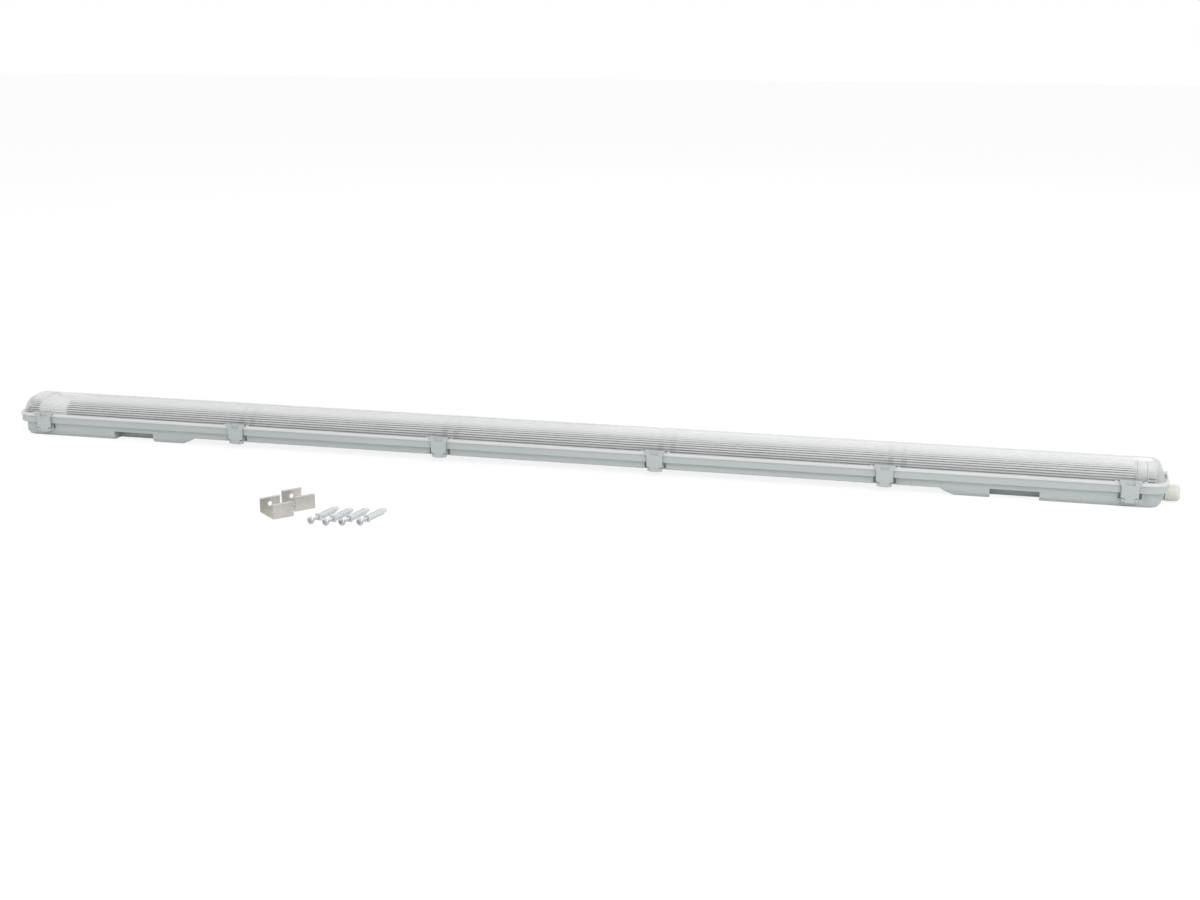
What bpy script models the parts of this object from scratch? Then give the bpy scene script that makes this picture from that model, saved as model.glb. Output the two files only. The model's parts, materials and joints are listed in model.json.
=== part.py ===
"""Vapor tight light fixture with one tube, a clear cover on twelve clips, and its loose fixing kit.

Metres, +Z up through the cover, X along the fixture with the cable gland at +X, feet on z = 0.
"""
import math

import bmesh
import bpy
from mathutils import Matrix, Vector

# Clearances and finish of the faceting
GAP = 0.0003
OVERRUN = 0.002
CORNER_STEPS = 6
ROUND_SIDES = 20
FINE_SIDES = 32
SMALL_SIDES = 12

# Tube and its caps, a 1500 mm tube of 26 mm diameter
TUBE_HALF_LENGTH = 0.7500
TUBE_RADIUS = 0.0130
TUBE_WALL = 0.0010
CAP_LENGTHS = {"left": 0.0260, "right": 0.0120}
CAP_SPIGOT = 0.0060
LABEL_BAND_LENGTH = 0.0174
LABEL_BAND_THICKNESS = 0.0002
PIN_RADIUS = 0.00118
PIN_LENGTH = 0.0073
PIN_ROOT = 0.0040
PIN_SPACING = 0.0127
BOARD_THICKNESS = 0.0012
BOARD_DROP = 0.0040

# Lampholders and their rotors
HOLDER_THICKNESS = 0.0110
HOLDER_BACK_ROOM = 0.0043
HOLDER_HALF_WIDTH = 0.0120
ROTOR_RADIUS = 0.0085
ROTOR_THICKNESS = 0.0084
ROTOR_BACK = 0.0010
ROTOR_PLAY = 0.0003
ROTOR_SLOT_HALF_WIDTH = 0.0015

# Housing
WALL = 0.0022
END_STEP = 0.0070
WALL_HALF_LENGTH = TUBE_HALF_LENGTH + GAP + HOLDER_THICKNESS + HOLDER_BACK_ROOM + WALL
RIM_HALF_LENGTH = WALL_HALF_LENGTH + END_STEP
RIM_HALF_WIDTH = 0.0392
RIM_CORNER = 0.0208
UNDERSIDE = 0.0088
WALL_HEIGHT = 0.0100
RIM_HEIGHT = 0.0088
STEP_HEIGHT = UNDERSIDE + WALL_HEIGHT
RIM_TOP = STEP_HEIGHT + RIM_HEIGHT
RIM_STEP = 0.0034
UNDERSIDE_CHAMFER = 0.0012
FOOT_CHAMFER_HEIGHT = 0.0049
FOOT_CHAMFER_WIDTH = 0.0034
FOOT_REACH = 0.2728
FOOT_START = RIM_HALF_LENGTH - FOOT_REACH
FOOT_SLOPE = 0.0190
FOOT_CORNER = 0.0030
WALL_HALF_WIDTH = RIM_HALF_WIDTH - RIM_STEP
WALL_CORNER = RIM_CORNER - RIM_STEP
RIM_LEDGE = 0.0060
TRAY_ABOVE_STEP = 0.0035
TRAY_TUBE_GAP = 0.0015
TRAY_TOP = STEP_HEIGHT + TRAY_ABOVE_STEP
TUBE_AXIS_HEIGHT = TRAY_TOP + TRAY_TUBE_GAP + TUBE_RADIUS

# Gasket in the rim's groove
GROOVE_INSET = 0.0012
GROOVE_WIDTH = 0.0032
GROOVE_DEPTH = 0.0030

# Cover
FLANGE_OVERHANG = 0.0012
FLANGE_THICKNESS = 0.0034
FLANGE_CHAMFER = 0.0012
COVER_WALL = 0.0018
DOME_INSET = 0.0051
TUBE_HEADROOM = 0.0029
DOME_END_INSET = 0.0048
DOME_END_SLOPE = 0.0190
DOME_END_EARLY = 1 / 3
DOME_END_POWER = 6
DOME_CORNER_SHARE = 0.48
DOME_RINGS = 9
DOME_LAST_SHARE = 0.965
COVER_TAB_WIDTH = 0.022
COVER_TAB_HEIGHT = 0.0048
COVER_TAB_THICKNESS = 0.0015
COVER_TAB_INSET = 0.0004
FLANGE_HALF_LENGTH = RIM_HALF_LENGTH + FLANGE_OVERHANG
FLANGE_HALF_WIDTH = RIM_HALF_WIDTH + FLANGE_OVERHANG
FLANGE_CORNER = RIM_CORNER + FLANGE_OVERHANG
FLANGE_BOTTOM = RIM_TOP + GAP
FLANGE_TOP = FLANGE_BOTTOM + FLANGE_THICKNESS
DOME_HEIGHT = TUBE_AXIS_HEIGHT + TUBE_RADIUS + TUBE_HEADROOM + COVER_WALL - FLANGE_TOP

# Cover clips
CLIP_COUNT = 6
CLIP_END_PLACE = 0.0448
CLIP_SPACING = 2 * (RIM_HALF_LENGTH - CLIP_END_PLACE) / (CLIP_COUNT - 1)
CLIP_THICKNESS = 0.0018
CLIP_STANDOFF = 0.0004
CLIP_TOP_WIDTH = 0.0260
CLIP_WAIST_WIDTH = 0.0206
CLIP_LEG_WIDTH = 0.0120
CLIP_WINDOW_WIDTH = 0.0096
CLIP_WINDOW_DEPTH = 0.0058
CLIP_RISE = 0.0032
CLIP_HORN_HEIGHT = 0.0024
CLIP_SHOULDER_DROP = 0.0080
CLIP_LEG_HEIGHT = 0.0027
CLIP_LEG_TAPER = 0.0014
CLIP_FOOT_DROP = 0.0028
HOOK_REACH = 0.0026
HOOK_START = 0.0002
PIVOT_RADIUS = 0.0014
PIVOT_HALF_LENGTH = 0.0094
PIVOT_RISE = 0.0006
PIVOT_HEIGHT = UNDERSIDE + PIVOT_RISE
EAR_WALL = 0.0007
EAR_WIDTH = 0.0028
EAR_SIDE_GAP = 0.0004
SLOT_INNER = 0.0106
SLOT_WIDTH = 0.0034
SLOT_HEIGHT = 0.0080
SLOT_DEPTH = 0.0040
SLOT_TOP_MARGIN = 0.0002

# Bracket notches in the feet
NOTCH_PLACE = 0.1794
NOTCH_CENTRE = RIM_HALF_LENGTH - NOTCH_PLACE
NOTCH_LENGTH = 0.0596
NOTCH_OPENING_TOP = 0.0117
BRACKET_WIDTH = 0.0380
BRACKET_LENGTH = 0.0260
BRACKET_HEIGHT = 0.0180
BRACKET_SHEET = 0.0012
BRACKET_LIP = 0.0032
BRACKET_PLAY = 0.0006
BRACKET_HOLE_RADIUS = 0.0027
BRACKET_HOLE_HEIGHT = 0.0092
BRACKET_SLOT_HALF_WIDTH = 0.0026
BRACKET_SLOT_HALF_LENGTH = 0.0042
BRACKET_OVAL_HALF_WIDTH = 0.0050
BRACKET_OVAL_HALF_LENGTH = 0.0072
BRACKET_SLOT_PLACE = 0.0090
BRACKET_OVAL_PLACE = 0.0056
BRACKET_TURN = math.radians(-40)
BRACKET_PLACES = ((-0.2535, -0.3135), (-0.2420, -0.2770))
NOTCH_INNER_HALF_WIDTH = BRACKET_WIDTH / 2 - BRACKET_SHEET - GAP
NOTCH_CHANNEL_OUTER = BRACKET_WIDTH / 2 + GAP
NOTCH_CHANNEL_TOP = BRACKET_HEIGHT - BRACKET_SHEET + BRACKET_PLAY
NOTCH_GROOVE_DEPTH = BRACKET_LIP + GAP
NOTCH_GROOVE_HEIGHT = BRACKET_SHEET + BRACKET_PLAY + GAP

# Gear tray
TRAY_SHEET = 0.0008
TRAY_SIDE_GAP = 0.0006
TRAY_END_GAP = 0.0036
TRAY_HALF_WIDTH = WALL_HALF_WIDTH - SLOT_DEPTH - WALL - TRAY_SIDE_GAP
TRAY_HALF_LENGTH = WALL_HALF_LENGTH - WALL - TRAY_END_GAP
TRAY_EDGE = 0.0040
TRAY_SCREW_FROM_FOOT = 0.1020
TRAY_SCREW_PLACE = FOOT_START - TRAY_SCREW_FROM_FOOT
TRAY_SCREW_OFFSET = 0.0200
TRAY_BOSS_RADIUS = 0.0042
TRAY_SCREW_RADIUS = 0.0015
TRAY_SCREW_TIP_ROOM = 0.0041
TRAY_SCREW_LENGTH = TRAY_TOP + GAP - UNDERSIDE - WALL - TRAY_SCREW_TIP_ROOM
TRAY_SCREW_HEAD_RADIUS = 0.0034
TRAY_SCREW_HEAD = 0.0018
EARTH_SCREW_FROM_END = 0.0548
EARTH_SCREW_PLACE = RIM_HALF_LENGTH - EARTH_SCREW_FROM_END
EARTH_SCREW_OFFSET = 0.0210
EARTH_SCREW_LENGTH = 0.0040

# Terminal block and inside wires
BLOCK_LENGTH = 0.0300
BLOCK_WIDTH = 0.0260
BLOCK_HEIGHT = 0.0130
BLOCK_FROM_END = 0.0948
BLOCK_CENTRE = RIM_HALF_LENGTH - BLOCK_FROM_END
BLOCK_SCREW_RADIUS = 0.0022
BLOCK_SCREW_DEPTH = 0.0040
BLOCK_SCREW_SPACING = 0.0080
BLOCK_PORT_RADIUS = 0.0014
BLOCK_PORT_DEPTH = 0.0060
BLOCK_PORT_HEIGHT = 0.0043
WIRE_RADIUS = 0.0009
WIRE_OFFSET = 0.0105
WIRE_RISE_GAP = 0.0010
WIRE_DROP = 0.0030

# Cable gland
GLAND_RISE = 0.0030
GLAND_HEIGHT = UNDERSIDE + GLAND_RISE
THREAD_RADIUS = 0.0076
THREAD_LENGTH = 0.0090
GLAND_BORE = 0.0045
COLLAR_RADIUS = 0.0102
COLLAR_LENGTH = 0.0036
COLLAR_EDGE = 0.0006
NECK_RADIUS = 0.0075
NECK_LENGTH = 0.0070
NUT_RADIUS = 0.0104
NUT_LENGTH = 0.0178
NUT_SEAM = 0.0006
NUT_DOME = 0.0062
NUT_MOUTH_RADIUS = 0.0050
NUT_END_RADIUS = 0.0072
NUT_SHOULDER = 0.0050
SEAL_BORE = 0.0040
LOCKNUT_RADIUS = 0.0090
LOCKNUT_LENGTH = 0.0036

# Loose wall screws and plugs
PLUG_LENGTH = 0.0400
PLUG_RADIUS = 0.0039
PLUG_COLLAR_RADIUS = 0.0044
PLUG_COLLAR_LENGTH = 0.0020
PLUG_NOSE_LENGTH = 0.0050
PLUG_NOSE_RADIUS = 0.0026
SCREW_RADIUS = 0.0020
SCREW_LENGTH = 0.0450
SCREW_OUTSIDE = 0.0140
SCREW_HEAD_RADIUS = 0.0045
SCREW_HEAD_LENGTH = 0.0028
SCREW_TURN = math.radians(78.7)
SCREW_PLACES = ((-0.1990, -0.3420), (-0.1800, -0.3434), (-0.1615, -0.3388), (-0.1412, -0.3337))

# Colours from the photograph: linear red, green, blue, then roughness and metallic
FINISHES = {
    "grey_plastic": ((0.48, 0.52, 0.52), 0.45, 0.0),
    "clip_plastic": ((0.45, 0.50, 0.50), 0.42, 0.0),
    "clear_cover": ((0.80, 0.82, 0.83), 0.12, 0.0),
    "seal_foam": ((0.10, 0.10, 0.11), 0.85, 0.0),
    "white_enamel": ((0.85, 0.86, 0.86), 0.35, 0.0),
    "white_plastic": ((0.86, 0.87, 0.87), 0.40, 0.0),
    "frosted_tube": ((0.82, 0.84, 0.85), 0.25, 0.0),
    "pin_metal": ((0.75, 0.68, 0.50), 0.30, 1.0),
    "board_white": ((0.80, 0.80, 0.78), 0.50, 0.0),
    "gland_cream": ((0.64, 0.66, 0.58), 0.45, 0.0),
    "wire_dark": ((0.04, 0.04, 0.05), 0.50, 0.0),
    "zinc_steel": ((0.58, 0.60, 0.60), 0.32, 1.0),
    "stainless": ((0.62, 0.60, 0.56), 0.28, 1.0),
    "plug_plastic": ((0.72, 0.74, 0.74), 0.50, 0.0),
}


def clear_scene():
    for thing in list(bpy.data.objects):
        bpy.data.objects.remove(thing)


def new_collection(name):
    collection = bpy.data.collections.new(name)
    bpy.context.scene.collection.children.link(collection)
    return collection


def finish_material(name):
    material = bpy.data.materials.get(name)
    if material is None:
        colour, roughness, metallic = FINISHES[name]
        material = bpy.data.materials.new(name)
        material.use_nodes = True
        shader = material.node_tree.nodes["Principled BSDF"]
        shader.inputs["Base Color"].default_value = (*colour, 1)
        shader.inputs["Roughness"].default_value = roughness
        shader.inputs["Metallic"].default_value = metallic
    return material


def add_object(name, bm, finish=None):
    """Turn a bmesh into an object: a part if it has a finish, a cutter if it has none."""
    bmesh.ops.recalc_face_normals(bm, faces=bm.faces)
    mesh = bpy.data.meshes.new(name)
    bm.to_mesh(mesh)
    bm.free()
    thing = bpy.data.objects.new(name, mesh)
    if finish:
        PARTS.objects.link(thing)
        mesh.materials.append(finish_material(finish))
    else:
        CUTTERS.objects.link(thing)
        thing.hide_render = True
        thing.display_type = "WIRE"
    return thing


def combine(thing, other, operation):
    step = thing.modifiers.new(other.name, "BOOLEAN")
    step.operation = operation
    step.object = other


def box(bm, low, high):
    size = [high[i] - low[i] for i in range(3)]
    centre = [(high[i] + low[i]) / 2 for i in range(3)]
    matrix = Matrix.Translation(centre) @ Matrix.Diagonal((*size, 1))
    bmesh.ops.create_cube(bm, size=1, matrix=matrix)
    return bm


def rod(bm, start, end, radius, sides=ROUND_SIDES, end_radius=None):
    """A cylinder or cone from start to end."""
    start, end = Vector(start), Vector(end)
    along = end - start
    turn = along.to_track_quat("Z", "Y").to_matrix().to_4x4()
    matrix = Matrix.Translation((start + end) / 2) @ turn
    bmesh.ops.create_cone(bm, cap_ends=True, segments=sides, radius1=radius,
                          radius2=radius if end_radius is None else end_radius,
                          depth=along.length, matrix=matrix)
    return bm


def loft(rings, ring_closed=False):
    """Skin rings of equal count, with a cap on each end unless the rings close on themselves."""
    bm = bmesh.new()
    rows = [[bm.verts.new(point) for point in ring] for ring in rings]
    pairs = list(zip(rows, rows[1:]))
    if ring_closed:
        pairs.append((rows[-1], rows[0]))
    for low, high in pairs:
        for i in range(len(low)):
            j = (i + 1) % len(low)
            bm.faces.new((low[i], low[j], high[j], high[i]))
    if not ring_closed:
        bm.faces.new(rows[0])
        bm.faces.new(rows[-1])
    return bm


def rounded(x_low, x_high, half_width, low_corner, high_corner, z):
    """A level rounded rectangle as a ring of points."""
    corners = ((x_high, half_width, high_corner, 0), (x_low, half_width, low_corner, 1),
               (x_low, -half_width, low_corner, 2), (x_high, -half_width, high_corner, 3))
    ring = []
    for x, y, corner, quarter in corners:
        centre_x = x - math.copysign(corner, 1 if quarter in (0, 3) else -1)
        centre_y = y - math.copysign(corner, y)
        for step in range(CORNER_STEPS + 1):
            angle = math.pi / 2 * (quarter + step / CORNER_STEPS)
            ring.append((centre_x + corner * math.cos(angle), centre_y + corner * math.sin(angle), z))
    return ring


def level(half_length, half_width, corner, z):
    return rounded(-half_length, half_length, half_width, corner, corner, z)


def prism(outline, start, end, place):
    """A flat outline swept from start to end; place turns its two numbers and depth into a point."""
    return loft([[place(a, b, start) for a, b in outline], [place(a, b, end) for a, b in outline]])


def turned(name, profile, axis_height, finish, sides=FINE_SIDES):
    """A turned piece about a line along X: its profile is a closed loop of (x, radius)."""
    bm = bmesh.new()
    verts = [bm.verts.new((radius, 0, x)) for x, radius in profile]
    for i, vert in enumerate(verts):
        bm.edges.new((vert, verts[(i + 1) % len(verts)]))
    thing = add_object(name, bm, finish)
    thing.location = (0, 0, axis_height)
    thing.rotation_euler = (math.pi / 2, 0, math.pi / 2)
    screw = thing.modifiers.new("Turn", "SCREW")
    screw.steps = sides
    screw.render_steps = sides
    screw.axis = "Z"
    screw.use_merge_vertices = True
    screw.merge_threshold = GAP / 10
    return thing


def side_name(side):
    return "left" if side < 0 else "right"


def clip_places():
    middle = (CLIP_COUNT - 1) / 2
    return [(i - middle) * CLIP_SPACING for i in range(CLIP_COUNT)]


def main_body(inset, top, floor, chamfer):
    """The long middle of the housing between its rim and its floor, outside or inside."""
    rim_inset = RIM_LEDGE if inset else 0
    shrink = inset + chamfer
    rim = (RIM_HALF_LENGTH - rim_inset, RIM_HALF_WIDTH - rim_inset, RIM_CORNER - rim_inset)
    wall = (WALL_HALF_LENGTH - inset, WALL_HALF_WIDTH - inset, WALL_CORNER - inset)
    base = (WALL_HALF_LENGTH - shrink, WALL_HALF_WIDTH - shrink, WALL_CORNER - shrink)
    rings = [level(*rim, top)]
    if not inset:
        rings.append(level(*rim, STEP_HEIGHT))
    rings.append(level(*wall, STEP_HEIGHT - inset))
    rings.append(level(*wall, floor + chamfer))
    rings.append(level(*base, floor))
    return loft(rings)


def foot_body(side, inset, top):
    """The deeper end of the housing, with its slope and its chamfer, outside or inside."""
    rings = []
    slope_at = (UNDERSIDE - FOOT_CHAMFER_HEIGHT) / UNDERSIDE * FOOT_SLOPE
    places = ((top, 0, 0), (FOOT_CHAMFER_HEIGHT + inset, slope_at, 0),
              (inset, FOOT_SLOPE, FOOT_CHAMFER_WIDTH))
    for z, start, chamfer in places:
        shrink = inset + chamfer
        ends = sorted((side * (FOOT_START + inset + start), side * (WALL_HALF_LENGTH - shrink)))
        corners = (WALL_CORNER - shrink, FOOT_CORNER)
        low, high = corners if side < 0 else corners[::-1]
        rings.append(rounded(*ends, WALL_HALF_WIDTH - shrink, low, high, z))
    return loft(rings)


def mirrored_box(bm, x_span, y_span, z_span, side, row):
    """A box on one side of the fixture at both ends of a span that is given outward from a centre."""
    x_low, x_high = sorted(side * x for x in x_span)
    y_low, y_high = sorted(row * y for y in y_span)
    return box(bm, (x_low, y_low, z_span[0]), (x_high, y_high, z_span[1]))


def notch_boxes(spread):
    """The space of the bracket notches, or with a spread the block of housing that surrounds it."""
    bm = bmesh.new()
    half = NOTCH_LENGTH / 2 + spread
    x_span = (NOTCH_CENTRE - half, NOTCH_CENTRE + half)
    outer = WALL_HALF_WIDTH + OVERRUN
    for side in (-1, 1):
        for row in (-1, 1):
            if spread:
                inner = NOTCH_INNER_HALF_WIDTH - NOTCH_GROOVE_DEPTH - spread
                top = NOTCH_CHANNEL_TOP + spread
                mirrored_box(bm, x_span, (inner, outer), (-OVERRUN, top), side, row)
                continue
            groove = NOTCH_INNER_HALF_WIDTH - NOTCH_GROOVE_DEPTH
            groove_low = NOTCH_CHANNEL_TOP - NOTCH_GROOVE_HEIGHT
            outline = [(outer, -OVERRUN), (outer, NOTCH_OPENING_TOP),
                       (NOTCH_CHANNEL_OUTER, NOTCH_OPENING_TOP), (NOTCH_CHANNEL_OUTER, NOTCH_CHANNEL_TOP),
                       (groove, NOTCH_CHANNEL_TOP), (groove, groove_low),
                       (NOTCH_INNER_HALF_WIDTH, groove_low), (NOTCH_INNER_HALF_WIDTH, -OVERRUN)]
            notch = prism(outline, side * x_span[0], side * x_span[1],
                          lambda y, z, x, row=row: (x, row * y, z))
            piece = bpy.data.meshes.new("Notch")
            notch.to_mesh(piece)
            notch.free()
            bm.from_mesh(piece)
            bpy.data.meshes.remove(piece)
    return bm


def clip_slots(spread):
    """The two slots beside each clip's leg, or with a spread the pockets of housing round them."""
    bm = bmesh.new()
    outer = WALL_HALF_WIDTH + OVERRUN
    inner = WALL_HALF_WIDTH - SLOT_DEPTH - spread
    top = STEP_HEIGHT - SLOT_TOP_MARGIN + spread
    low = STEP_HEIGHT - SLOT_TOP_MARGIN - SLOT_HEIGHT - spread
    for x in clip_places():
        for row in (-1, 1):
            y_low, y_high = sorted((row * inner, row * outer))
            for hand in (-1, 1):
                x_low, x_high = sorted((x + hand * (SLOT_INNER - spread),
                                        x + hand * (SLOT_INNER + SLOT_WIDTH + spread)))
                box(bm, (x_low, y_low, low), (x_high, y_high, top))
    return bm


def pivot_place():
    return FLANGE_HALF_WIDTH, PIVOT_HEIGHT


def clip_ears():
    """Rounded lugs on the wall that hold the clips' pivots."""
    bm = bmesh.new()
    y_pivot, z_pivot = pivot_place()
    radius = PIVOT_RADIUS + GAP + EAR_WALL
    start = CLIP_LEG_WIDTH / 2 + EAR_SIDE_GAP
    half_turn_steps = SMALL_SIDES // 2
    for x in clip_places():
        for row in (-1, 1):
            outline = [(WALL_HALF_WIDTH - GAP, z_pivot + radius)]
            for step in range(half_turn_steps + 1):
                angle = math.pi / 2 - math.pi * step / half_turn_steps
                outline.append((y_pivot + radius * math.cos(angle), z_pivot + radius * math.sin(angle)))
            outline.append((WALL_HALF_WIDTH - GAP, z_pivot - radius))
            for hand in (-1, 1):
                ear = prism(outline, x + hand * start, x + hand * (start + EAR_WIDTH),
                            lambda y, z, along, row=row: (along, row * y, z))
                piece = bpy.data.meshes.new("Ear")
                bmesh.ops.recalc_face_normals(ear, faces=ear.faces)
                ear.to_mesh(piece)
                ear.free()
                bm.from_mesh(piece)
                bpy.data.meshes.remove(piece)
    return bm


def make_housing():
    floor = UNDERSIDE + WALL
    housing = add_object("housing", main_body(0, RIM_TOP, UNDERSIDE, UNDERSIDE_CHAMFER), "grey_plastic")
    cavity = add_object("Cavity", main_body(WALL, RIM_TOP + OVERRUN, floor, UNDERSIDE_CHAMFER))
    for side in (-1, 1):
        top = UNDERSIDE + UNDERSIDE_CHAMFER
        foot = add_object("Foot", foot_body(side, 0, top + GAP))
        combine(housing, foot, "UNION")
        hollow = add_object("Foot hollow", foot_body(side, WALL, top + WALL + GAP))
        combine(cavity, hollow, "UNION")
    combine(cavity, add_object("Notch blocks", notch_boxes(WALL)), "DIFFERENCE")
    combine(cavity, add_object("Slot pockets", clip_slots(WALL - GAP)), "DIFFERENCE")
    bosses = bmesh.new()
    for x in (-TRAY_SCREW_PLACE, TRAY_SCREW_PLACE):
        for y in (-TRAY_SCREW_OFFSET, TRAY_SCREW_OFFSET):
            rod(bosses, (x, y, UNDERSIDE), (x, y, TRAY_TOP - TRAY_SHEET - GAP), TRAY_BOSS_RADIUS)
    combine(cavity, add_object("Tray bosses", bosses), "DIFFERENCE")
    combine(housing, add_object("Clip ears", clip_ears()), "UNION")
    combine(housing, cavity, "DIFFERENCE")
    combine(housing, add_object("Notches", notch_boxes(0)), "DIFFERENCE")
    combine(housing, add_object("Slots", clip_slots(0)), "DIFFERENCE")
    holes = bmesh.new()
    y_pivot, z_pivot = pivot_place()
    reach = PIVOT_HALF_LENGTH + OVERRUN
    for x in clip_places():
        for row in (-1, 1):
            rod(holes, (x - reach, row * y_pivot, z_pivot), (x + reach, row * y_pivot, z_pivot),
                PIVOT_RADIUS + GAP, SMALL_SIDES)
    for x in (-TRAY_SCREW_PLACE, TRAY_SCREW_PLACE):
        for y in (-TRAY_SCREW_OFFSET, TRAY_SCREW_OFFSET):
            rod(holes, (x, y, floor), (x, y, TRAY_TOP + OVERRUN), TRAY_SCREW_RADIUS + GAP,
                SMALL_SIDES)
    combine(housing, add_object("Holes", holes), "DIFFERENCE")
    inside = WALL_HALF_LENGTH - THREAD_LENGTH - OVERRUN
    bore = rod(bmesh.new(), (inside, 0, GLAND_HEIGHT), (WALL_HALF_LENGTH + OVERRUN, 0, GLAND_HEIGHT),
               THREAD_RADIUS + GAP, FINE_SIDES)
    combine(housing, add_object("Gland hole", bore), "DIFFERENCE")
    seat = rod(bmesh.new(), (inside, 0, GLAND_HEIGHT), (WALL_HALF_LENGTH - WALL, 0, GLAND_HEIGHT),
               LOCKNUT_RADIUS + GAP, FINE_SIDES)
    combine(housing, add_object("Locknut seat", seat), "DIFFERENCE")
    relief = rod(bmesh.new(), (WALL_HALF_LENGTH, 0, GLAND_HEIGHT),
                 (RIM_HALF_LENGTH + OVERRUN, 0, GLAND_HEIGHT), NUT_RADIUS + GAP, FINE_SIDES)
    combine(housing, add_object("Gland relief", relief), "DIFFERENCE")
    combine(housing, add_object("Groove", rim_ring(0, RIM_TOP + OVERRUN)), "DIFFERENCE")


def rim_ring(clearance, top):
    """The groove along the rim, or with a clearance the seal that lies in it."""
    outer = GROOVE_INSET + clearance
    inner = GROOVE_INSET + GROOVE_WIDTH - clearance
    low = RIM_TOP - GROOVE_DEPTH + clearance
    rings = []
    for inset, z in ((outer, top), (outer, low), (inner, low), (inner, top)):
        rings.append(level(RIM_HALF_LENGTH - inset, RIM_HALF_WIDTH - inset, RIM_CORNER - inset, z))
    return loft(rings, ring_closed=True)


def make_gasket():
    add_object("gasket", rim_ring(GAP, RIM_TOP), "seal_foam")


def dome_ring(share, inset):
    """A level ring of the dome: share is 0 at its foot and 1 on its ridge."""
    angle = math.pi / 2 * share
    height = (DOME_HEIGHT - inset) * math.sin(angle)
    base_half_width = FLANGE_HALF_WIDTH - DOME_INSET - inset
    half_width = base_half_width * math.cos(angle)
    rise = height / DOME_HEIGHT
    lean = DOME_END_SLOPE * (DOME_END_EARLY * rise + (1 - DOME_END_EARLY) * rise ** DOME_END_POWER)
    half_length = FLANGE_HALF_LENGTH - DOME_END_INSET - inset - lean
    return level(half_length, half_width, half_width * DOME_CORNER_SHARE, FLANGE_TOP + height)


def make_cover():
    shares = [DOME_LAST_SHARE * i / (DOME_RINGS - 1) for i in range(DOME_RINGS)]
    inner = [dome_ring(share, COVER_WALL) for share in reversed(shares)]
    foot = [(x, y, FLANGE_BOTTOM) for x, y, _ in inner[-1]]
    edge = FLANGE_TOP - FLANGE_CHAMFER
    outside = [level(FLANGE_HALF_LENGTH, FLANGE_HALF_WIDTH, FLANGE_CORNER, FLANGE_BOTTOM),
               level(FLANGE_HALF_LENGTH, FLANGE_HALF_WIDTH, FLANGE_CORNER, edge),
               level(FLANGE_HALF_LENGTH - FLANGE_CHAMFER, FLANGE_HALF_WIDTH - FLANGE_CHAMFER,
                     FLANGE_CORNER - FLANGE_CHAMFER, FLANGE_TOP)]
    outer = [dome_ring(share, 0) for share in shares]
    cover = add_object("cover", loft(inner + [foot] + outside + outer), "clear_cover")
    tab = bmesh.new()
    end = FLANGE_HALF_LENGTH - COVER_TAB_INSET - FLANGE_CHAMFER
    box(tab, (end - COVER_TAB_THICKNESS, -COVER_TAB_WIDTH / 2, FLANGE_TOP - FLANGE_CHAMFER),
        (end, COVER_TAB_WIDTH / 2, FLANGE_TOP + COVER_TAB_HEIGHT))
    combine(cover, add_object("Cover tab", tab), "UNION")


def clip_outline():
    """Half of the clip's face from its foot up to its window, in width and height."""
    top = FLANGE_TOP + CLIP_RISE
    leg_top = PIVOT_HEIGHT + CLIP_LEG_HEIGHT
    return [(CLIP_LEG_WIDTH / 2, PIVOT_HEIGHT - CLIP_FOOT_DROP),
            (CLIP_LEG_WIDTH / 2, leg_top),
            (CLIP_WAIST_WIDTH / 2, leg_top + CLIP_LEG_TAPER),
            (CLIP_WAIST_WIDTH / 2, top - CLIP_SHOULDER_DROP),
            (CLIP_TOP_WIDTH / 2, top - CLIP_HORN_HEIGHT),
            (CLIP_TOP_WIDTH / 2, top),
            (CLIP_WINDOW_WIDTH / 2, top),
            (CLIP_WINDOW_WIDTH / 2, top - CLIP_WINDOW_DEPTH)]


def make_clip(name, x, row):
    """A clip, modelled with its pivot at the origin and stood in its place on the front or rear."""
    y_pivot, z_pivot = pivot_place()
    half = clip_outline()
    outline = half + [(-a, b) for a, b in reversed(half)]
    inner = CLIP_STANDOFF
    outer = CLIP_STANDOFF + CLIP_THICKNESS
    clip = add_object(name, prism(outline, inner, outer,
                                  lambda a, b, y: (a, row * y, b - z_pivot)), "clip_plastic")
    top = FLANGE_TOP + CLIP_RISE
    nose_start = FLANGE_TOP - FLANGE_CHAMFER + GAP + HOOK_START
    nose = [(inner + GAP, nose_start - GAP), (inner - HOOK_REACH, nose_start + HOOK_REACH),
            (inner - HOOK_REACH, top - GAP), (inner + GAP, top - GAP)]
    half_nose = CLIP_TOP_WIDTH / 2 - GAP
    combine(clip, add_object(name + " nose", prism(nose, -half_nose, half_nose,
                             lambda y, z, along: (along, row * y, z - z_pivot))), "UNION")
    barrel = rod(bmesh.new(), (-PIVOT_HALF_LENGTH, 0, 0), (PIVOT_HALF_LENGTH, 0, 0), PIVOT_RADIUS,
                 SMALL_SIDES)
    combine(clip, add_object(name + " pivot", barrel), "UNION")
    for thing in [clip] + [step.object for step in clip.modifiers]:
        thing.location = (x, row * y_pivot, z_pivot)


def make_clips():
    for number, x in enumerate(clip_places(), 1):
        make_clip(f"front_clip_{number}", x, -1)
        make_clip(f"rear_clip_{number}", x, 1)


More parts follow.
